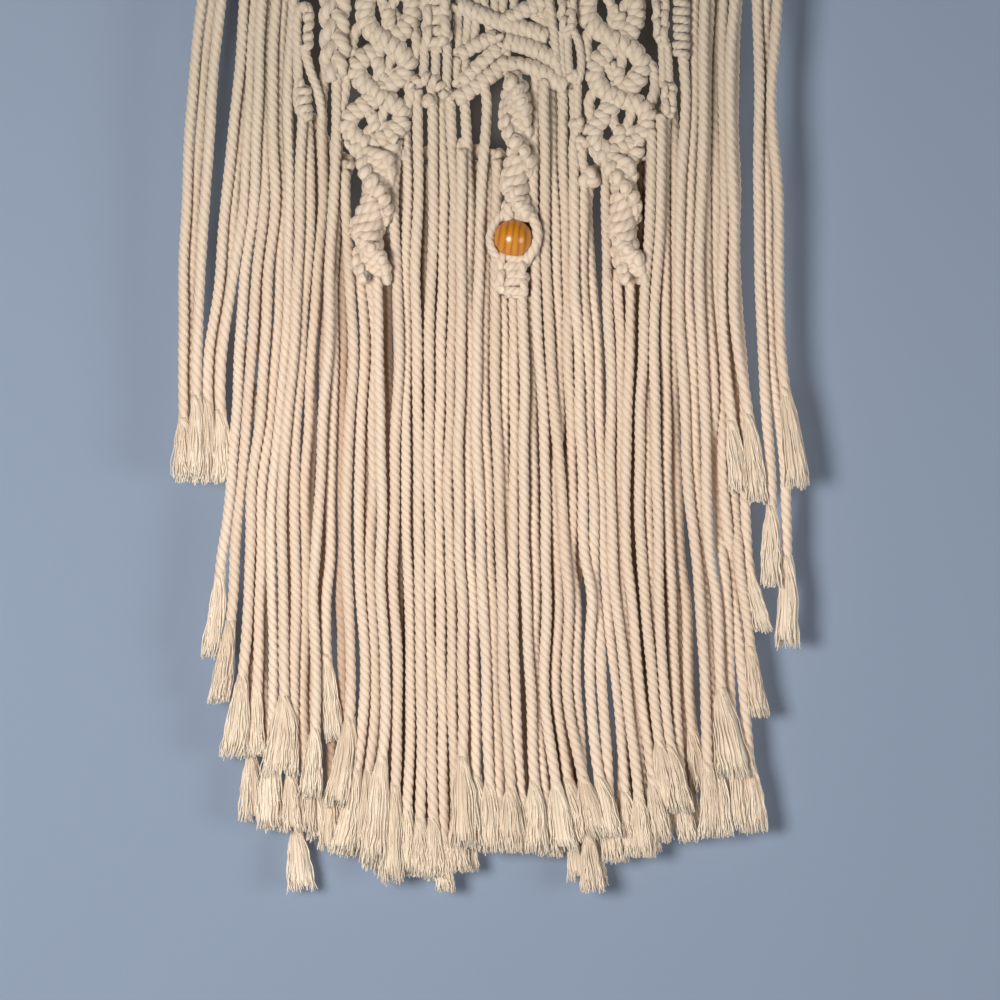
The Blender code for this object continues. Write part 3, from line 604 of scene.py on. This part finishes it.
def hitches(tangle, points, depth, thickness=7.4, pitch=HITCH, hand=1, tint=0.6, rope=ROPE, tight=TIGHT):
    """Turns of cord round a carrier that follows the points, two to a hitch and a little uneven."""
    middle = smooth(route(points, depth), pitch / TURN_POINTS)
    turn = np.arange(len(middle)) / TURN_POINTS * tau + dice.uniform(0, 1)
    along = unit(np.gradient(middle, axis=0))
    forward = unit(along * along[:, 1:2] - (0, 1, 0))
    beside = np.cross(along, forward) * hand
    wraps = int(turn[-1] / tau) + 3
    uneven = np.interp(turn / tau, np.arange(wraps), dice.normal(0, 0.055, wraps))
    reach = (thickness - rope * tight) / 2 * (1 + uneven)
    radial = np.cos(turn)[:, None] * forward + np.sin(turn)[:, None] * beside
    slide = 0.10 * pitch * np.sin(turn / 2) - 0.12 * pitch * np.sin(turn)
    line = middle + radial * reach[:, None] + along * slide[:, None]
    knot_cord(tangle, line, rope, tint + dice.normal(0, 0.05), toward=radial, flat=tight)


def plain_cord(tangle, points, depth, thickness, tint=None):
    """A cord that simply runs from place to place."""
    line = smooth(route(points, depth), 1.5)
    lay_cord(tangle, line, thickness, tint or dice.normal(0.55, 0.08), sides=10)


header = Tangle()
hitches(header, [(186, -16), (340, -16), (500, -16), (660, -16), (788, -16)], HEADER_DEPTH, 8.0)
header.piece("header_row_hitches", "header_row")


def ball(tangle, across, down, depth, size, rope=ROPE):
    """A small round knot: a cord that loops over itself three times."""
    share = np.linspace(0, 1, 54)[:, None]
    angle = share * tau
    spread = (size - rope) / 2.6
    shape = np.hstack([np.sin(angle) + 1.5 * np.sin(2 * angle), -1.3 * np.sin(3 * angle),
                       np.cos(angle) - 1.5 * np.cos(2 * angle)]) * spread / 1.9
    tilt = dice.uniform(0, tau)
    x = shape[:, 0] * cos(tilt) - shape[:, 2] * sin(tilt)
    z = shape[:, 0] * sin(tilt) + shape[:, 2] * cos(tilt)
    line = np.stack([x, shape[:, 1], z], axis=1) + sheet(across, down, depth)
    knot_cord(tangle, line, rope, 0.45)


low_row = Tangle()
hitches(low_row, [(300, 96), (320, 136), (347, 160), (402, 156), (462, 148), (497, 157), (540, 162),
                  (588, 172), (641, 156), (668, 104)], BACK_DEPTH, tint=0.45)
for across, down, size in ((305, 100, 8), (347, 167, 10), (402, 155, 8), (462, 146, 9), (495, 156, 10),
                           (577, 168, 8), (641, 155, 9), (668, 102, 8)):
    ball(low_row, across, down, -0.8, size)
low_row.piece("back_row_hitches", "back_row")


# ---
# The two nets of diamonds: cords hitched over two carriers that cross and cross
# back, with a pair of crossing cords and a small knot in the middle of each eye.

NET_BAR, NET_PITCH, NET_TIGHT = 10.8, 4.4, 0.62  # the hitched bars: mm thick, mm a turn, and how flat
CROSSING = 5.6  # mm, thickness of the cords that cross in an eye
STANDING = 0.9  # mm that a small knot stands in front of them
KNOT_TURN = 3.8  # mm, one turn of such a knot


def make_net(name, node, carriers, last_row, arcs, crossings, knots):
    """Two hitched carriers, a last row, plain cords at the sides, and the cords and knots of the eyes."""
    tangle = Tangle()
    for number, carrier in enumerate(carriers):
        hitches(tangle, carrier, NET_DEPTH, NET_BAR, NET_PITCH, 1 - 2 * number, rope=6.1, tight=NET_TIGHT)
    hitches(tangle, last_row, NET_DEPTH - 2.2, 8.6, NET_PITCH, rope=6.0, tight=NET_TIGHT)
    for arc in arcs:
        plain_cord(tangle, arc, NET_DEPTH + 0.6, 6.0)
    for crossing in crossings:
        plain_cord(tangle, crossing, NET_DEPTH, CROSSING)
    for top, bottom, width in knots:
        waist = ((top[0] + bottom[0]) / 2 + 0.6, (top[1] + bottom[1]) / 2)
        hitches(tangle, [top, waist, bottom], NET_DEPTH - STANDING, width, KNOT_TURN, rope=5.4, tight=0.7)
    tangle.piece(name, node)


make_net(
    "left_net_knots", "left_net",
    (
        [(376, -18, -3), (367, -3, -3), (365, 12, -3), (368, 26), (377, 36, -4.6), (389, 44, -5), (402, 54),
         (408, 65), (403, 75), (392, 83, -2.6), (380, 93, -2.6), (369, 103, -4), (356, 112), (348, 122),
         (350, 132), (359, 141), (371, 147, -4.6)],
        [(400, -18, -3), (411, -3, -3), (413, 14, -3), (405, 29), (393, 38, -2.4), (379, 49, -2.4),
         (364, 58), (356, 68), (360, 79), (371, 90, -4.4), (383, 99, -5), (396, 106), (403, 117),
         (396, 130), (383, 139), (370, 145, -2.6)],
    ),
    [(352, 143), (359, 152), (370, 160), (381, 159), (390, 151), (396, 140)],
    (
        [(360, 26), (354, 36), (352, 47), (356, 62)],
        [(354, 62), (347, 76), (344, 96), (340, 116), (336, 140, -1.0), (334, 166, 4.5)],
        [(410, 24), (416, 36), (417, 50), (410, 64)], [(405, 74), (409, 86), (410, 98), (405, 112)],
    ),
    (
        [(377, -10), (383, 4), (387, 18)], [(402, -8), (394, 2), (388, 12)],
        [(391, 10, -1.4), (398, 18, -1.4), (404, 30)], [(387, 20), (385, 30), (380, 38)],
        [(390, 24), (395, 31), (400, 37)], [(371, 49), (375, 60), (380, 74)],
        [(393, 48), (391, 60), (385, 74)], [(384, 72), (391, 74), (398, 73)],
        [(380, 74), (374, 82), (369, 88)], [(383, 76), (387, 84), (389, 90)],
        [(367, 102), (371, 114), (374, 126)], [(383, 102), (384, 112), (378, 124)],
        [(377, 130), (385, 127), (393, 126)], [(371, 128), (366, 137), (362, 143)],
    ),
    (((386, 8), (390, 28), 7.4), ((375, 57), (382, 78), 7.4), ((371, 112), (376, 133), 7.4)),
)
make_net(
    "right_net_knots", "right_net",
    (
        [(602, -18, -3), (589, -3, -3), (587, 13, -3), (593, 26), (606, 36), (620, 43, -5), (634, 52),
         (642, 65), (637, 79), (624, 90, -2.6), (613, 99, -2.6), (608, 111, -4), (598, 123), (592, 136),
         (599, 148), (614, 154)],
        [(624, -18, -3), (634, -3, -3), (636, 14, -3), (630, 32), (615, 46, -2.4), (600, 59), (594, 73),
         (601, 88), (614, 97, -5), (630, 102), (643, 108), (648, 120), (641, 136), (629, 146),
         (615, 153, -4.6)],
    ),
    [(596, 150), (603, 160), (614, 166), (626, 164), (634, 156), (640, 146)],
    (
        [(643, 58), (653, 70), (655, 90), (648, 108)], [(597, 88), (589, 102), (592, 122)],
        [(592, 26), (586, 42), (588, 62)],
    ),
    (
        [(604, -8), (610, 4), (616, 14)], [(632, -8), (627, 2), (620, 12)],
        [(613, 6), (612, 18), (612, 32)], [(613, 24), (610, 32), (604, 40)],
        [(622, 28), (628, 35), (632, 42)], [(622, 48), (622, 60), (618, 74)],
        [(603, 60), (609, 69), (615, 80)], [(618, 84), (626, 81), (635, 77)],
        [(615, 84), (611, 90), (606, 94)], [(611, 108), (612, 118), (616, 130)],
        [(631, 104), (630, 118), (624, 131)], [(621, 134), (630, 132), (640, 131)],
        [(616, 138), (612, 145), (606, 150)],
    ),
    (((618, 10), (618, 31), 8.2), ((617, 66), (619, 86), 7.2), ((618, 125), (620, 143), 7.4)),
)


# ---
# The chevron in the middle: slanting rows of hitches, tied with the cords that
# come straight down from the top row on either side.

chevron = Tangle()
for slant, thickness, pitch in (
    ([(456, 4), (466, 9), (478, 14), (493, 20), (509, 26), (527, 30), (549, 38)], 8.6, 3.6),
    ([(546, 0), (532, 7), (518, 14), (504, 22)], 8.2, 4.0),
    ([(499, 35), (480, 44), (458, 56)], 7.6, 4.0),
    ([(501, 47), (482, 63), (460, 85)], 7.6, 4.2),
    ([(511, 60), (496, 72), (476, 87), (455, 101)], 8.6, 4.5),
    ([(503, 40), (516, 44), (530, 48), (543, 54), (560, 64)], 9.2, 3.6),
    ([(506, 68), (514, 66), (528, 67), (544, 74), (567, 88)], 9.0, 3.9),
):
    hand = 1 if slant[0][0] < slant[-1][0] else -1
    hitches(chevron, slant, NET_DEPTH - 0.6, thickness + 0.6, pitch, hand, rope=pitch * 1.45,
            tight=0.6)
for cord in (
    [(462, -10), (458, 20), (460, 52)], [(468, 12), (467, 34), (465, 46)],
    [(476, 14), (475, 30), (474, 44)], [(487, 18), (489, 28), (492, 36)],
    [(474, -10), (476, 2), (478, 12)], [(484, -10), (484, 4), (487, 18)],
    [(494, -10), (495, 8), (496, 20)], [(503, -10), (503, 10), (502, 22)],
    [(513, -10), (514, 2), (515, 12)], [(552, -10), (546, 14), (549, 34)],
    [(528, -10), (536, 2), (546, 26)], [(457, 58), (457, 74), (460, 86)],
    [(466, 60), (466, 74), (470, 84)], [(520, 8), (534, 16), (548, 30)], [(514, 28), (506, 34), (507, 60)],
    [(552, 40), (560, 56), (562, 74)],
):
    plain_cord(chevron, cord, NET_DEPTH + 1.2, 4.9)
plain_cord(chevron, [(546, -10), (551, 12), (554, 36), (557, 62), (560, 86)], NET_DEPTH - 2.4, 5.0)
chevron.piece("centre_chevron_hitches", "centre_chevron")


# ---
# The plaits of half knots: two working cords tied round two filling cords. Tied
# left and right in turn the plait stays flat; tied one way only, it spirals.

PLAIT_DEPTH = -6.3
FILLING = 4.2  # mm, thickness of a filling cord
FLAT_BAR = ((-1.0, 0.2, -0.08), (-0.5, 0.85, 0.25), (0.6, 0.85, 0.38), (1.0, 0.3, 0.55))
FLAT_BIGHT = ((0.78, 1.4, 0.20), (0.9, 0.3, 0.60), (0.5, -0.9, 0.55), (-0.3, -0.9, 0.30),
              (-0.5, 0.4, 0.02), (-0.74, 1.45, 0.32))
SPIRAL_TURN = ((-0.92, 0.3, -0.30), (-0.45, 1.05, 0.02), (0.40, 1.15, 0.52), (0.92, 0.5, 0.90),
               (0.72, 1.45, 1.35), (0.85, 0.3, 1.75), (0.5, -0.9, 1.65), (-0.3, -0.9, 1.30),
               (-0.5, 0.4, 0.92), (-0.70, 1.50, 1.15), (-0.98, 0.9, 1.55))


def plait(tangle, rows, half_knot=3.9, turns=None, thick=5.2, rope=ROPE, depth=PLAIT_DEPTH, tint=0.62):
    """A plait of half knots. Rows are (left, right, down) marks; turns are (down, degrees) of a spiral."""
    rows = smooth([((left + right) / 2, down, (right - left) / 2 * MARK) for left, right, down in rows], 2.0)
    first, last = rows[0, 1], rows[-1, 1]
    count = max(2, round((last - first) * MARK / half_knot))
    wide = rows[:, 2].max() if turns else None
    turns = turns or ((first, 0.0), (last, 0.0))

    def place(side, front, level):
        down = first + level / count * (last - first)
        angle = math.radians(np.interp(down, *zip(*turns)))
        half = (wide or np.interp(down, rows[:, 1], rows[:, 2])) - rope * 0.34
        reach = (thick - rope * 0.40) * front
        across = np.interp(down, rows[:, 1], rows[:, 0])
        x = half * side * cos(angle) + reach * sin(angle)
        nearer = reach * cos(angle) - half * side * sin(angle)
        return sheet(across, down, depth) + (x, -nearer, 0.0) + dice.normal(0, 0.28, 3)

    if wide:
        paths = [[(side, front, knot + level) for knot in range(start, count, 2)
                  for side, front, level in SPIRAL_TURN] for start in (0, 1)]
    else:
        paths = [[(side * (1 - 2 * (knot % 2)), front, knot + level) for knot in range(count)
                  for side, front, level in turn] for turn in (FLAT_BAR, FLAT_BIGHT)]
    for path in paths:
        line = smooth([place(side, front, min(max(level, -0.3), count + 0.3)) for side, front, level in path],
                      0.75)
        middle = np.stack([np.interp(line[:, 2], rows[::-1, 1] * -MARK - FIRST_DROP,
                                     (rows[::-1, 0] - MIDDLE) * MARK),
                           np.full(len(line), depth), line[:, 2]], axis=1)
        knot_cord(tangle, line, rope, tint + dice.normal(0, 0.05), toward=line - middle, flat=0.8)
    for side in (-0.3, 0.3):
        levels = np.linspace(-0.3, count + 0.3, 12)
        core = smooth([place(side, -0.1, level) for level in levels], 1.5)
        lay_cord(tangle, core, FILLING, dice.normal(0.55, 0.08), sides=10)


# The plait at the top left is a bold one of three cords, taken over and under in turn.
BRAID_TURN = 32.0  # mm for a cord to come back to the same side
top_left = Tangle()
levels = np.linspace(-12, 80, 70)
for number in range(3):
    turn = levels * MARK / BRAID_TURN * tau + number * tau / 3 + 0.8
    aside = np.interp(levels, (-12, 12, 32, 52, 66, 80), (5.0, 5.2, 4.4, 5.2, 4.2, 1.8)) * np.sin(turn)
    nearer = 2.7 * np.sin(2 * turn)
    path = [sheet(335 + x / MARK, down, PLAIT_DEPTH - z) for x, z, down in zip(aside, nearer, levels)]
    knot_cord(top_left, smooth(path, 0.9), 6.8, 0.6, valley=VALLEY)
top_left.piece("left_top_plait", "left_top_sennit")

mid_left = Tangle()
plait(mid_left, [(421, 451, -12), (420, 452, 4), (422, 451, 24), (420, 452, 42), (424, 449, 50)],
      half_knot=5.2, thick=5.4, rope=5.6)
mid_left.piece("mid_left_plait", "mid_left_knots")

top_right = Tangle()
plait(top_right, [(653, 669, -12), (651, 669, 4), (652, 669, 20), (653, 668, 36), (657, 670, 46)],
      thick=4.2, rope=4.0)
for left in (663, 669):
    plain_cord(top_right, [(left - 2, 44), (left - 1, 62), (left, 88)], -5.5, 4.4)
plait(top_right, [(661, 676, 86), (660, 677, 92), (661, 676, 104), (663, 675, 116)], thick=4.4, rope=4.0)
top_right.piece("right_top_plait", "right_top_sennit")

spirals = (
    ("left",
     [(355, 397, 152), (357, 396, 161), (359, 393, 176), (361, 391, 191), (354, 388, 220),
      (356, 387, 242), (357, 388, 263), (357, 388, 277)],
     ((152, -32), (170, 12), (197, 90), (222, 180), (245, 262), (264, 350), (277, 380)), 5.4),
    ("centre",
     [(499, 533, 74), (500, 536, 102), (498, 532, 127), (499, 533, 142), (501, 535, 156),
      (499, 533, 174), (501, 535, 191), (502, 536, 214)],
     ((74, -110), (90, -80), (127, 10), (150, 80), (174, 170), (196, 262), (214, 330)), 5.0),
    ("right",
     [(603, 637, 157), (603, 638, 168), (604, 638, 185), (606, 641, 203), (607, 642, 222),
      (609, 643, 240), (613, 645, 258), (615, 647, 277)],
     ((157, -36), (170, 4), (192, 92), (219, 176), (244, 265), (262, 350), (277, 380)), 5.2),
)
for place, rows, turns, thick in spirals:
    spiral = Tangle()
    plait(spiral, rows, half_knot=4.6, turns=turns, thick=thick + 0.6, rope=6.2)
    spiral.piece(place + "_spiral_plait", place + "_spiral_sennit")


# ---
# The bead, and the plait below it: the outer two cords go round the bead and
# the inner two through it, then all four are tied in square knots.

BEAD_WIDE = 19.0  # mm, thickness of the bead
BEAD_BORE = 6.8
BEAD_AT = (513, 239, -9.7)

bead_cords = Tangle()
plain_cord(bead_cords, [(514, 206, -8), (503, 215, -9.5), (494, 226, -9.5), (490, 240, -9.5),
                        (494, 253, -10), (502, 262, -9)], 0, 5.0, 0.75)
plain_cord(bead_cords, [(518, 205, -9), (528, 213, -10), (535, 224, -10), (537, 238, -10),
                        (533, 251, -10), (525, 262, -9)], 0, 5.8, 0.8)
for across in (510, 516):
    plain_cord(bead_cords, [(across + 3, 202), (across, 222), (across, 256), (across, 270)], BEAD_AT[2], 3.0)
    plain_cord(bead_cords, [(across * 2 - 511, 204), (across * 2 - 512, 222)], BEAD_AT[2], 6.0, 0.7)
plait(bead_cords, [(495, 530, 256), (493, 531, 264), (494, 529, 274), (493, 531, 284), (495, 529, 296)],
      half_knot=4.2, thick=4.8, rope=5.2, depth=-7.0, tint=0.75)
bead_cords.piece("bead_plait", "square_knots_and_bead_cords")

BEAD_RINGS, BEAD_SIDES = 26, 48
BEAD_LEAN = 7.0  # degrees from upright
GRAIN_PITCH = 0.0033  # m from one band of the grain to the next
bore_half = BEAD_BORE / 2
edge = math.acos(bore_half / (BEAD_WIDE / 2 * 0.985))
profile = [(BEAD_WIDE / 2 * cos(turn), BEAD_WIDE / 2 * sin(turn))
           for turn in np.linspace(edge * 0.985, -edge * 0.985, BEAD_RINGS)]
height = profile[0][1]
profile += [(bore_half + 0.25, -height - 0.12), (bore_half, -height + 0.3), (bore_half, height - 0.3),
            (bore_half + 0.25, height + 0.12)]
corners = [Vector((radius * cos(turn), radius * sin(turn), up)) * 0.001 for radius, up in profile
           for turn in np.arange(BEAD_SIDES) / BEAD_SIDES * tau]
faces, shares = [], []
for ring, step in np.ndindex(len(profile), BEAD_SIDES):
    around_face = ((step + 1, ring), (step, ring), (step, ring + 1), (step + 1, ring + 1))
    faces.append([row % len(profile) * BEAD_SIDES + side % BEAD_SIDES for side, row in around_face])
    for side, row in around_face:
        shares += [side / BEAD_SIDES * 0.98 + 0.01, 0.99 - row / len(profile) * 0.98]
bead_mesh = bpy.data.meshes.new("turned_bead")
bead_mesh.from_pydata(corners, [], faces)
bead_mesh.uv_layers.new(name="OFBake").data.foreach_set("uv", shares)
bead_mesh.polygons.foreach_set("use_smooth", [True] * len(faces))

wood = Finish("lacquered_wood", Roughness=0.3, Coat_Weight=0.4, Coat_Roughness=0.16)
spot = wood.add("TexCoord", output=3)
split = wood.add("SeparateXYZ", {0: spot})
wobble = wood.add("TexNoise", {"Vector": spot, "Scale": 90.0, "Detail": 1.0})
bands = (((split + wobble * 0.0022) * (tau / GRAIN_PITCH)).math("SINE") * 0.5 + 0.5).math("POWER", 2.2)
stretch = wood.add("CombineXYZ", {
    0: split * 900.0, 1: split.output(1) * 900.0, 2: split.output(2) * 70.0})
pores = wood.add("TexNoise", {"Vector": stretch, "Scale": 1.0, "Detail": 3.0})
grain = wood.mix(bands * 0.75, (0.58, 0.215, 0.012), (0.25, 0.070, 0.005))
grain = wood.mix(pores * 0.35, grain, (0.40, 0.14, 0.012))
wood.feed(wood.shader, {"Base Color": grain, "Roughness": pores * 0.12 + 0.26})
bead_mesh.materials.append(wood.material)

bead = put("turned_bead", bead_mesh, Vector(sheet(*BEAD_AT)) * 0.001, (0, math.radians(BEAD_LEAN), 0))
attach(bead, "root")
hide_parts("bead")


# ---
# The smaller knots: the loop and coil at the left, the cords and round knots on
# either side of the chevron, and the cord wound round itself at the right.

loop = Tangle()
plain_cord(loop, [(299, 96, -4), (298, 60), (297, 24), (301, 8), (308, 8), (310, 16, -5)], -5.6, 5.2)
hitches(loop, [(308, 8), (309, 26), (308, 50)], -6.2, 6.2, pitch=4.9, tint=0.6)
plain_cord(loop, [(304, 46), (309, 66), (319, 96, -4), (323, 122, 0.5)], -6.0, 5.2)
loop.piece("hanging_loop_cord", "hanging_loop")

coil = Tangle()
hitches(coil, [(305, 84), (304, 100), (306, 119)], PLAIT_DEPTH, 8.6, pitch=4.4)
plain_cord(coil, [(300, 82), (297, 94), (299, 110), (304, 120)], PLAIT_DEPTH + 2, 4.6)
coil.piece("coil_knot_cord", "coil_knot")

column = Tangle()
hitches(column, [(681, -12), (681, 20), (681, 58)], PLAIT_DEPTH, 9.2, pitch=4.2, hand=-1)
column.piece("wrapped_column_cord", "wrapped_column")

left_cords = Tangle()
for top, end in (((424, 44), (423, 80)), ((435, 44), (435, 80)), ((447, 44), (446, 98))):
    plain_cord(left_cords, [top, ((top[0] + end[0]) / 2 + 0.8, 62), end], -5.0, 5.0)
hitches(left_cords, [(414, 89), (420, 80), (427, 80), (436, 83), (446, 94)], -5.6, 8.0, hand=-1)
ball(left_cords, 429, 102, -5.6, 8.0)
left_cords.piece("mid_left_cords", "mid_left_knots")

right_cords = Tangle()
plait(right_cords, [(557, 576, -12), (557, 577, 4), (558, 576, 20), (559, 576, 34)], thick=4.4, rope=4.0)
for left in (561, 567):
    plain_cord(right_cords, [(left, 32), (left + 0.5, 50), (left + 2, 70), (left + 6, 82, -3.5)], -5.4, 4.6)
plain_cord(right_cords, [(571, 28), (578, 42), (581, 60), (580, 76), (576, 84)], -6.0, 4.6)
ball(right_cords, 573, 78, -5.6, 8.4)
right_cords.piece("mid_right_plait_and_cords", "mid_right_sennit_and_cords")

right_knots = Tangle()
plain_cord(right_knots, [(577, 84), (577, 104), (577, 122)], -5.0, 4.8)
ball(right_knots, 577, 125, -5.6, 9.0)
ball(right_knots, 582, 144, -5.6, 9.4)
ball(right_knots, 589, 179, -5.0, 13.0, rope=6.4)
for cord in ([(576, 128), (573, 150), (574, 182)], [(583, 148), (582, 160), (586, 174)]):
    plain_cord(right_knots, cord, -4.6, 5.0)
right_knots.piece("mid_right_round_knots", "mid_right_knots")


# ---
# The stage: a blue-grey wall, a pale floor below, soft lights. The tassels hang
# close to the wall and the top stands off from it, so the wall's plane slopes.
# Behind the knots the wall is painted darker: painted shade, where the hanging keeps
# the light off it. From behind, view and light pass through it.

WALL_AT_TASSELS = 0.0155  # m behind the hanging's middle plane, 0.44 m down
WALL_AT_TOP = 0.028
WALL_SLOPE = (WALL_AT_TOP - WALL_AT_TASSELS) / 0.44
WALL_HEIGHT = 1.6
FLOOR_DROP = 1.40
WALL_COLOUR, WALL_SHADE_COLOUR = (0.200, 0.250, 0.335), (0.095, 0.092, 0.092)


def flat_sheet(name, corners, finish):
    mesh = bpy.data.meshes.new(name)
    mesh.from_pydata(corners, [], [(0, 1, 2, 3)])
    mesh.materials.append(finish)
    made = put(name, mesh)


def wall_finish():
    finish = Finish("plain_wall", Roughness=0.95)
    across = finish.add("SeparateXYZ", {0: finish.add("NewGeometry")})
    height = across.output(2)

    def fade(value, start, end):
        return finish.add("MapRange", {"Value": value, "From Min": start, "From Max": end},
                          interpolation_type="SMOOTHSTEP")

    # Painted shade: the wall is darker behind the upper knots, where the hanging keeps the light off it.
    shade = fade(height, -0.15, -0.06) * fade(across.math("ABSOLUTE"), 0.135, 0.085) * fade(height, 0.03, 0.0)
    finish.feed(finish.shader, {"Base Color": finish.mix(shade, WALL_COLOUR, WALL_SHADE_COLOUR)})
    behind = finish.add("NewGeometry", output=6)
    shadow = finish.add("LightPath", output=1)
    clear = finish.add("BsdfTransparent")
    either = behind.math("MAXIMUM", shadow)
    shown = finish.add("MixShader", {0: either, 1: Value(finish, finish.shader), 2: clear})
    finish.feed(finish.nodes["Material Output"], {"Surface": shown})
    return finish.material


foot, head = WALL_AT_TOP - WALL_SLOPE * FLOOR_DROP, WALL_AT_TOP + WALL_SLOPE * WALL_HEIGHT
flat_sheet("wall", [(-2, foot, -FLOOR_DROP), (2, foot, -FLOOR_DROP),
                    (2, head, WALL_HEIGHT), (-2, head, WALL_HEIGHT)], wall_finish())
flat_sheet("floor", [(-3, -3, -FLOOR_DROP), (3, -3, -FLOOR_DROP), (3, 3, -FLOOR_DROP), (-3, 3, -FLOOR_DROP)],
           Finish("pale_floor", Base_Color=(0.62, 0.62, 0.62), Roughness=0.9).material)


MIDST = Vector((0.0, 0.0, -0.25))  # where the lights point


def soft_light(name, place, size, power, colour=(1.0, 1.0, 1.0)):
    light = bpy.data.lights.new(name, "AREA")
    light.shape, light.size, light.energy, light.color = "DISK", size, power, colour
    put(name, light, place, (MIDST - Vector(place)).to_track_quat("-Z", "Y").to_euler())


soft_light("key_light", (-0.56, -1.14, -0.32), 0.5, 18.7, (1.0, 0.975, 0.94))
soft_light("fill_light", (1.2, -1.0, -0.5), 0.8, 9.0, (0.98, 0.99, 1.0))
soft_light("rear_light", (0.6, 1.6, 0.5), 1.4, 36)

world = bpy.data.worlds.new("studio")
world.use_nodes = True
sky = world.node_tree.nodes["Background"].inputs
sky["Color"].default_value = (0.95, 0.97, 1.0, 1.0)
sky["Strength"].default_value = 0.05
scene.world = world
scene.view_settings.view_transform = "Standard"

# The camera looks straight at the hanging through a long lens, half a metre high in view.
VIEW, CAMERA_DISTANCE = 0.5, 3.0
camera = bpy.data.cameras.new("camera")
camera.sensor_width = 36.0
camera.lens = camera.sensor_width * CAMERA_DISTANCE / VIEW
camera.clip_end = 50.0
scene.camera = put("camera", camera, (0.0, -CAMERA_DISTANCE, -(FIRST_DROP / 1000 + VIEW / 2)),
                               (math.pi / 2, 0, 0))
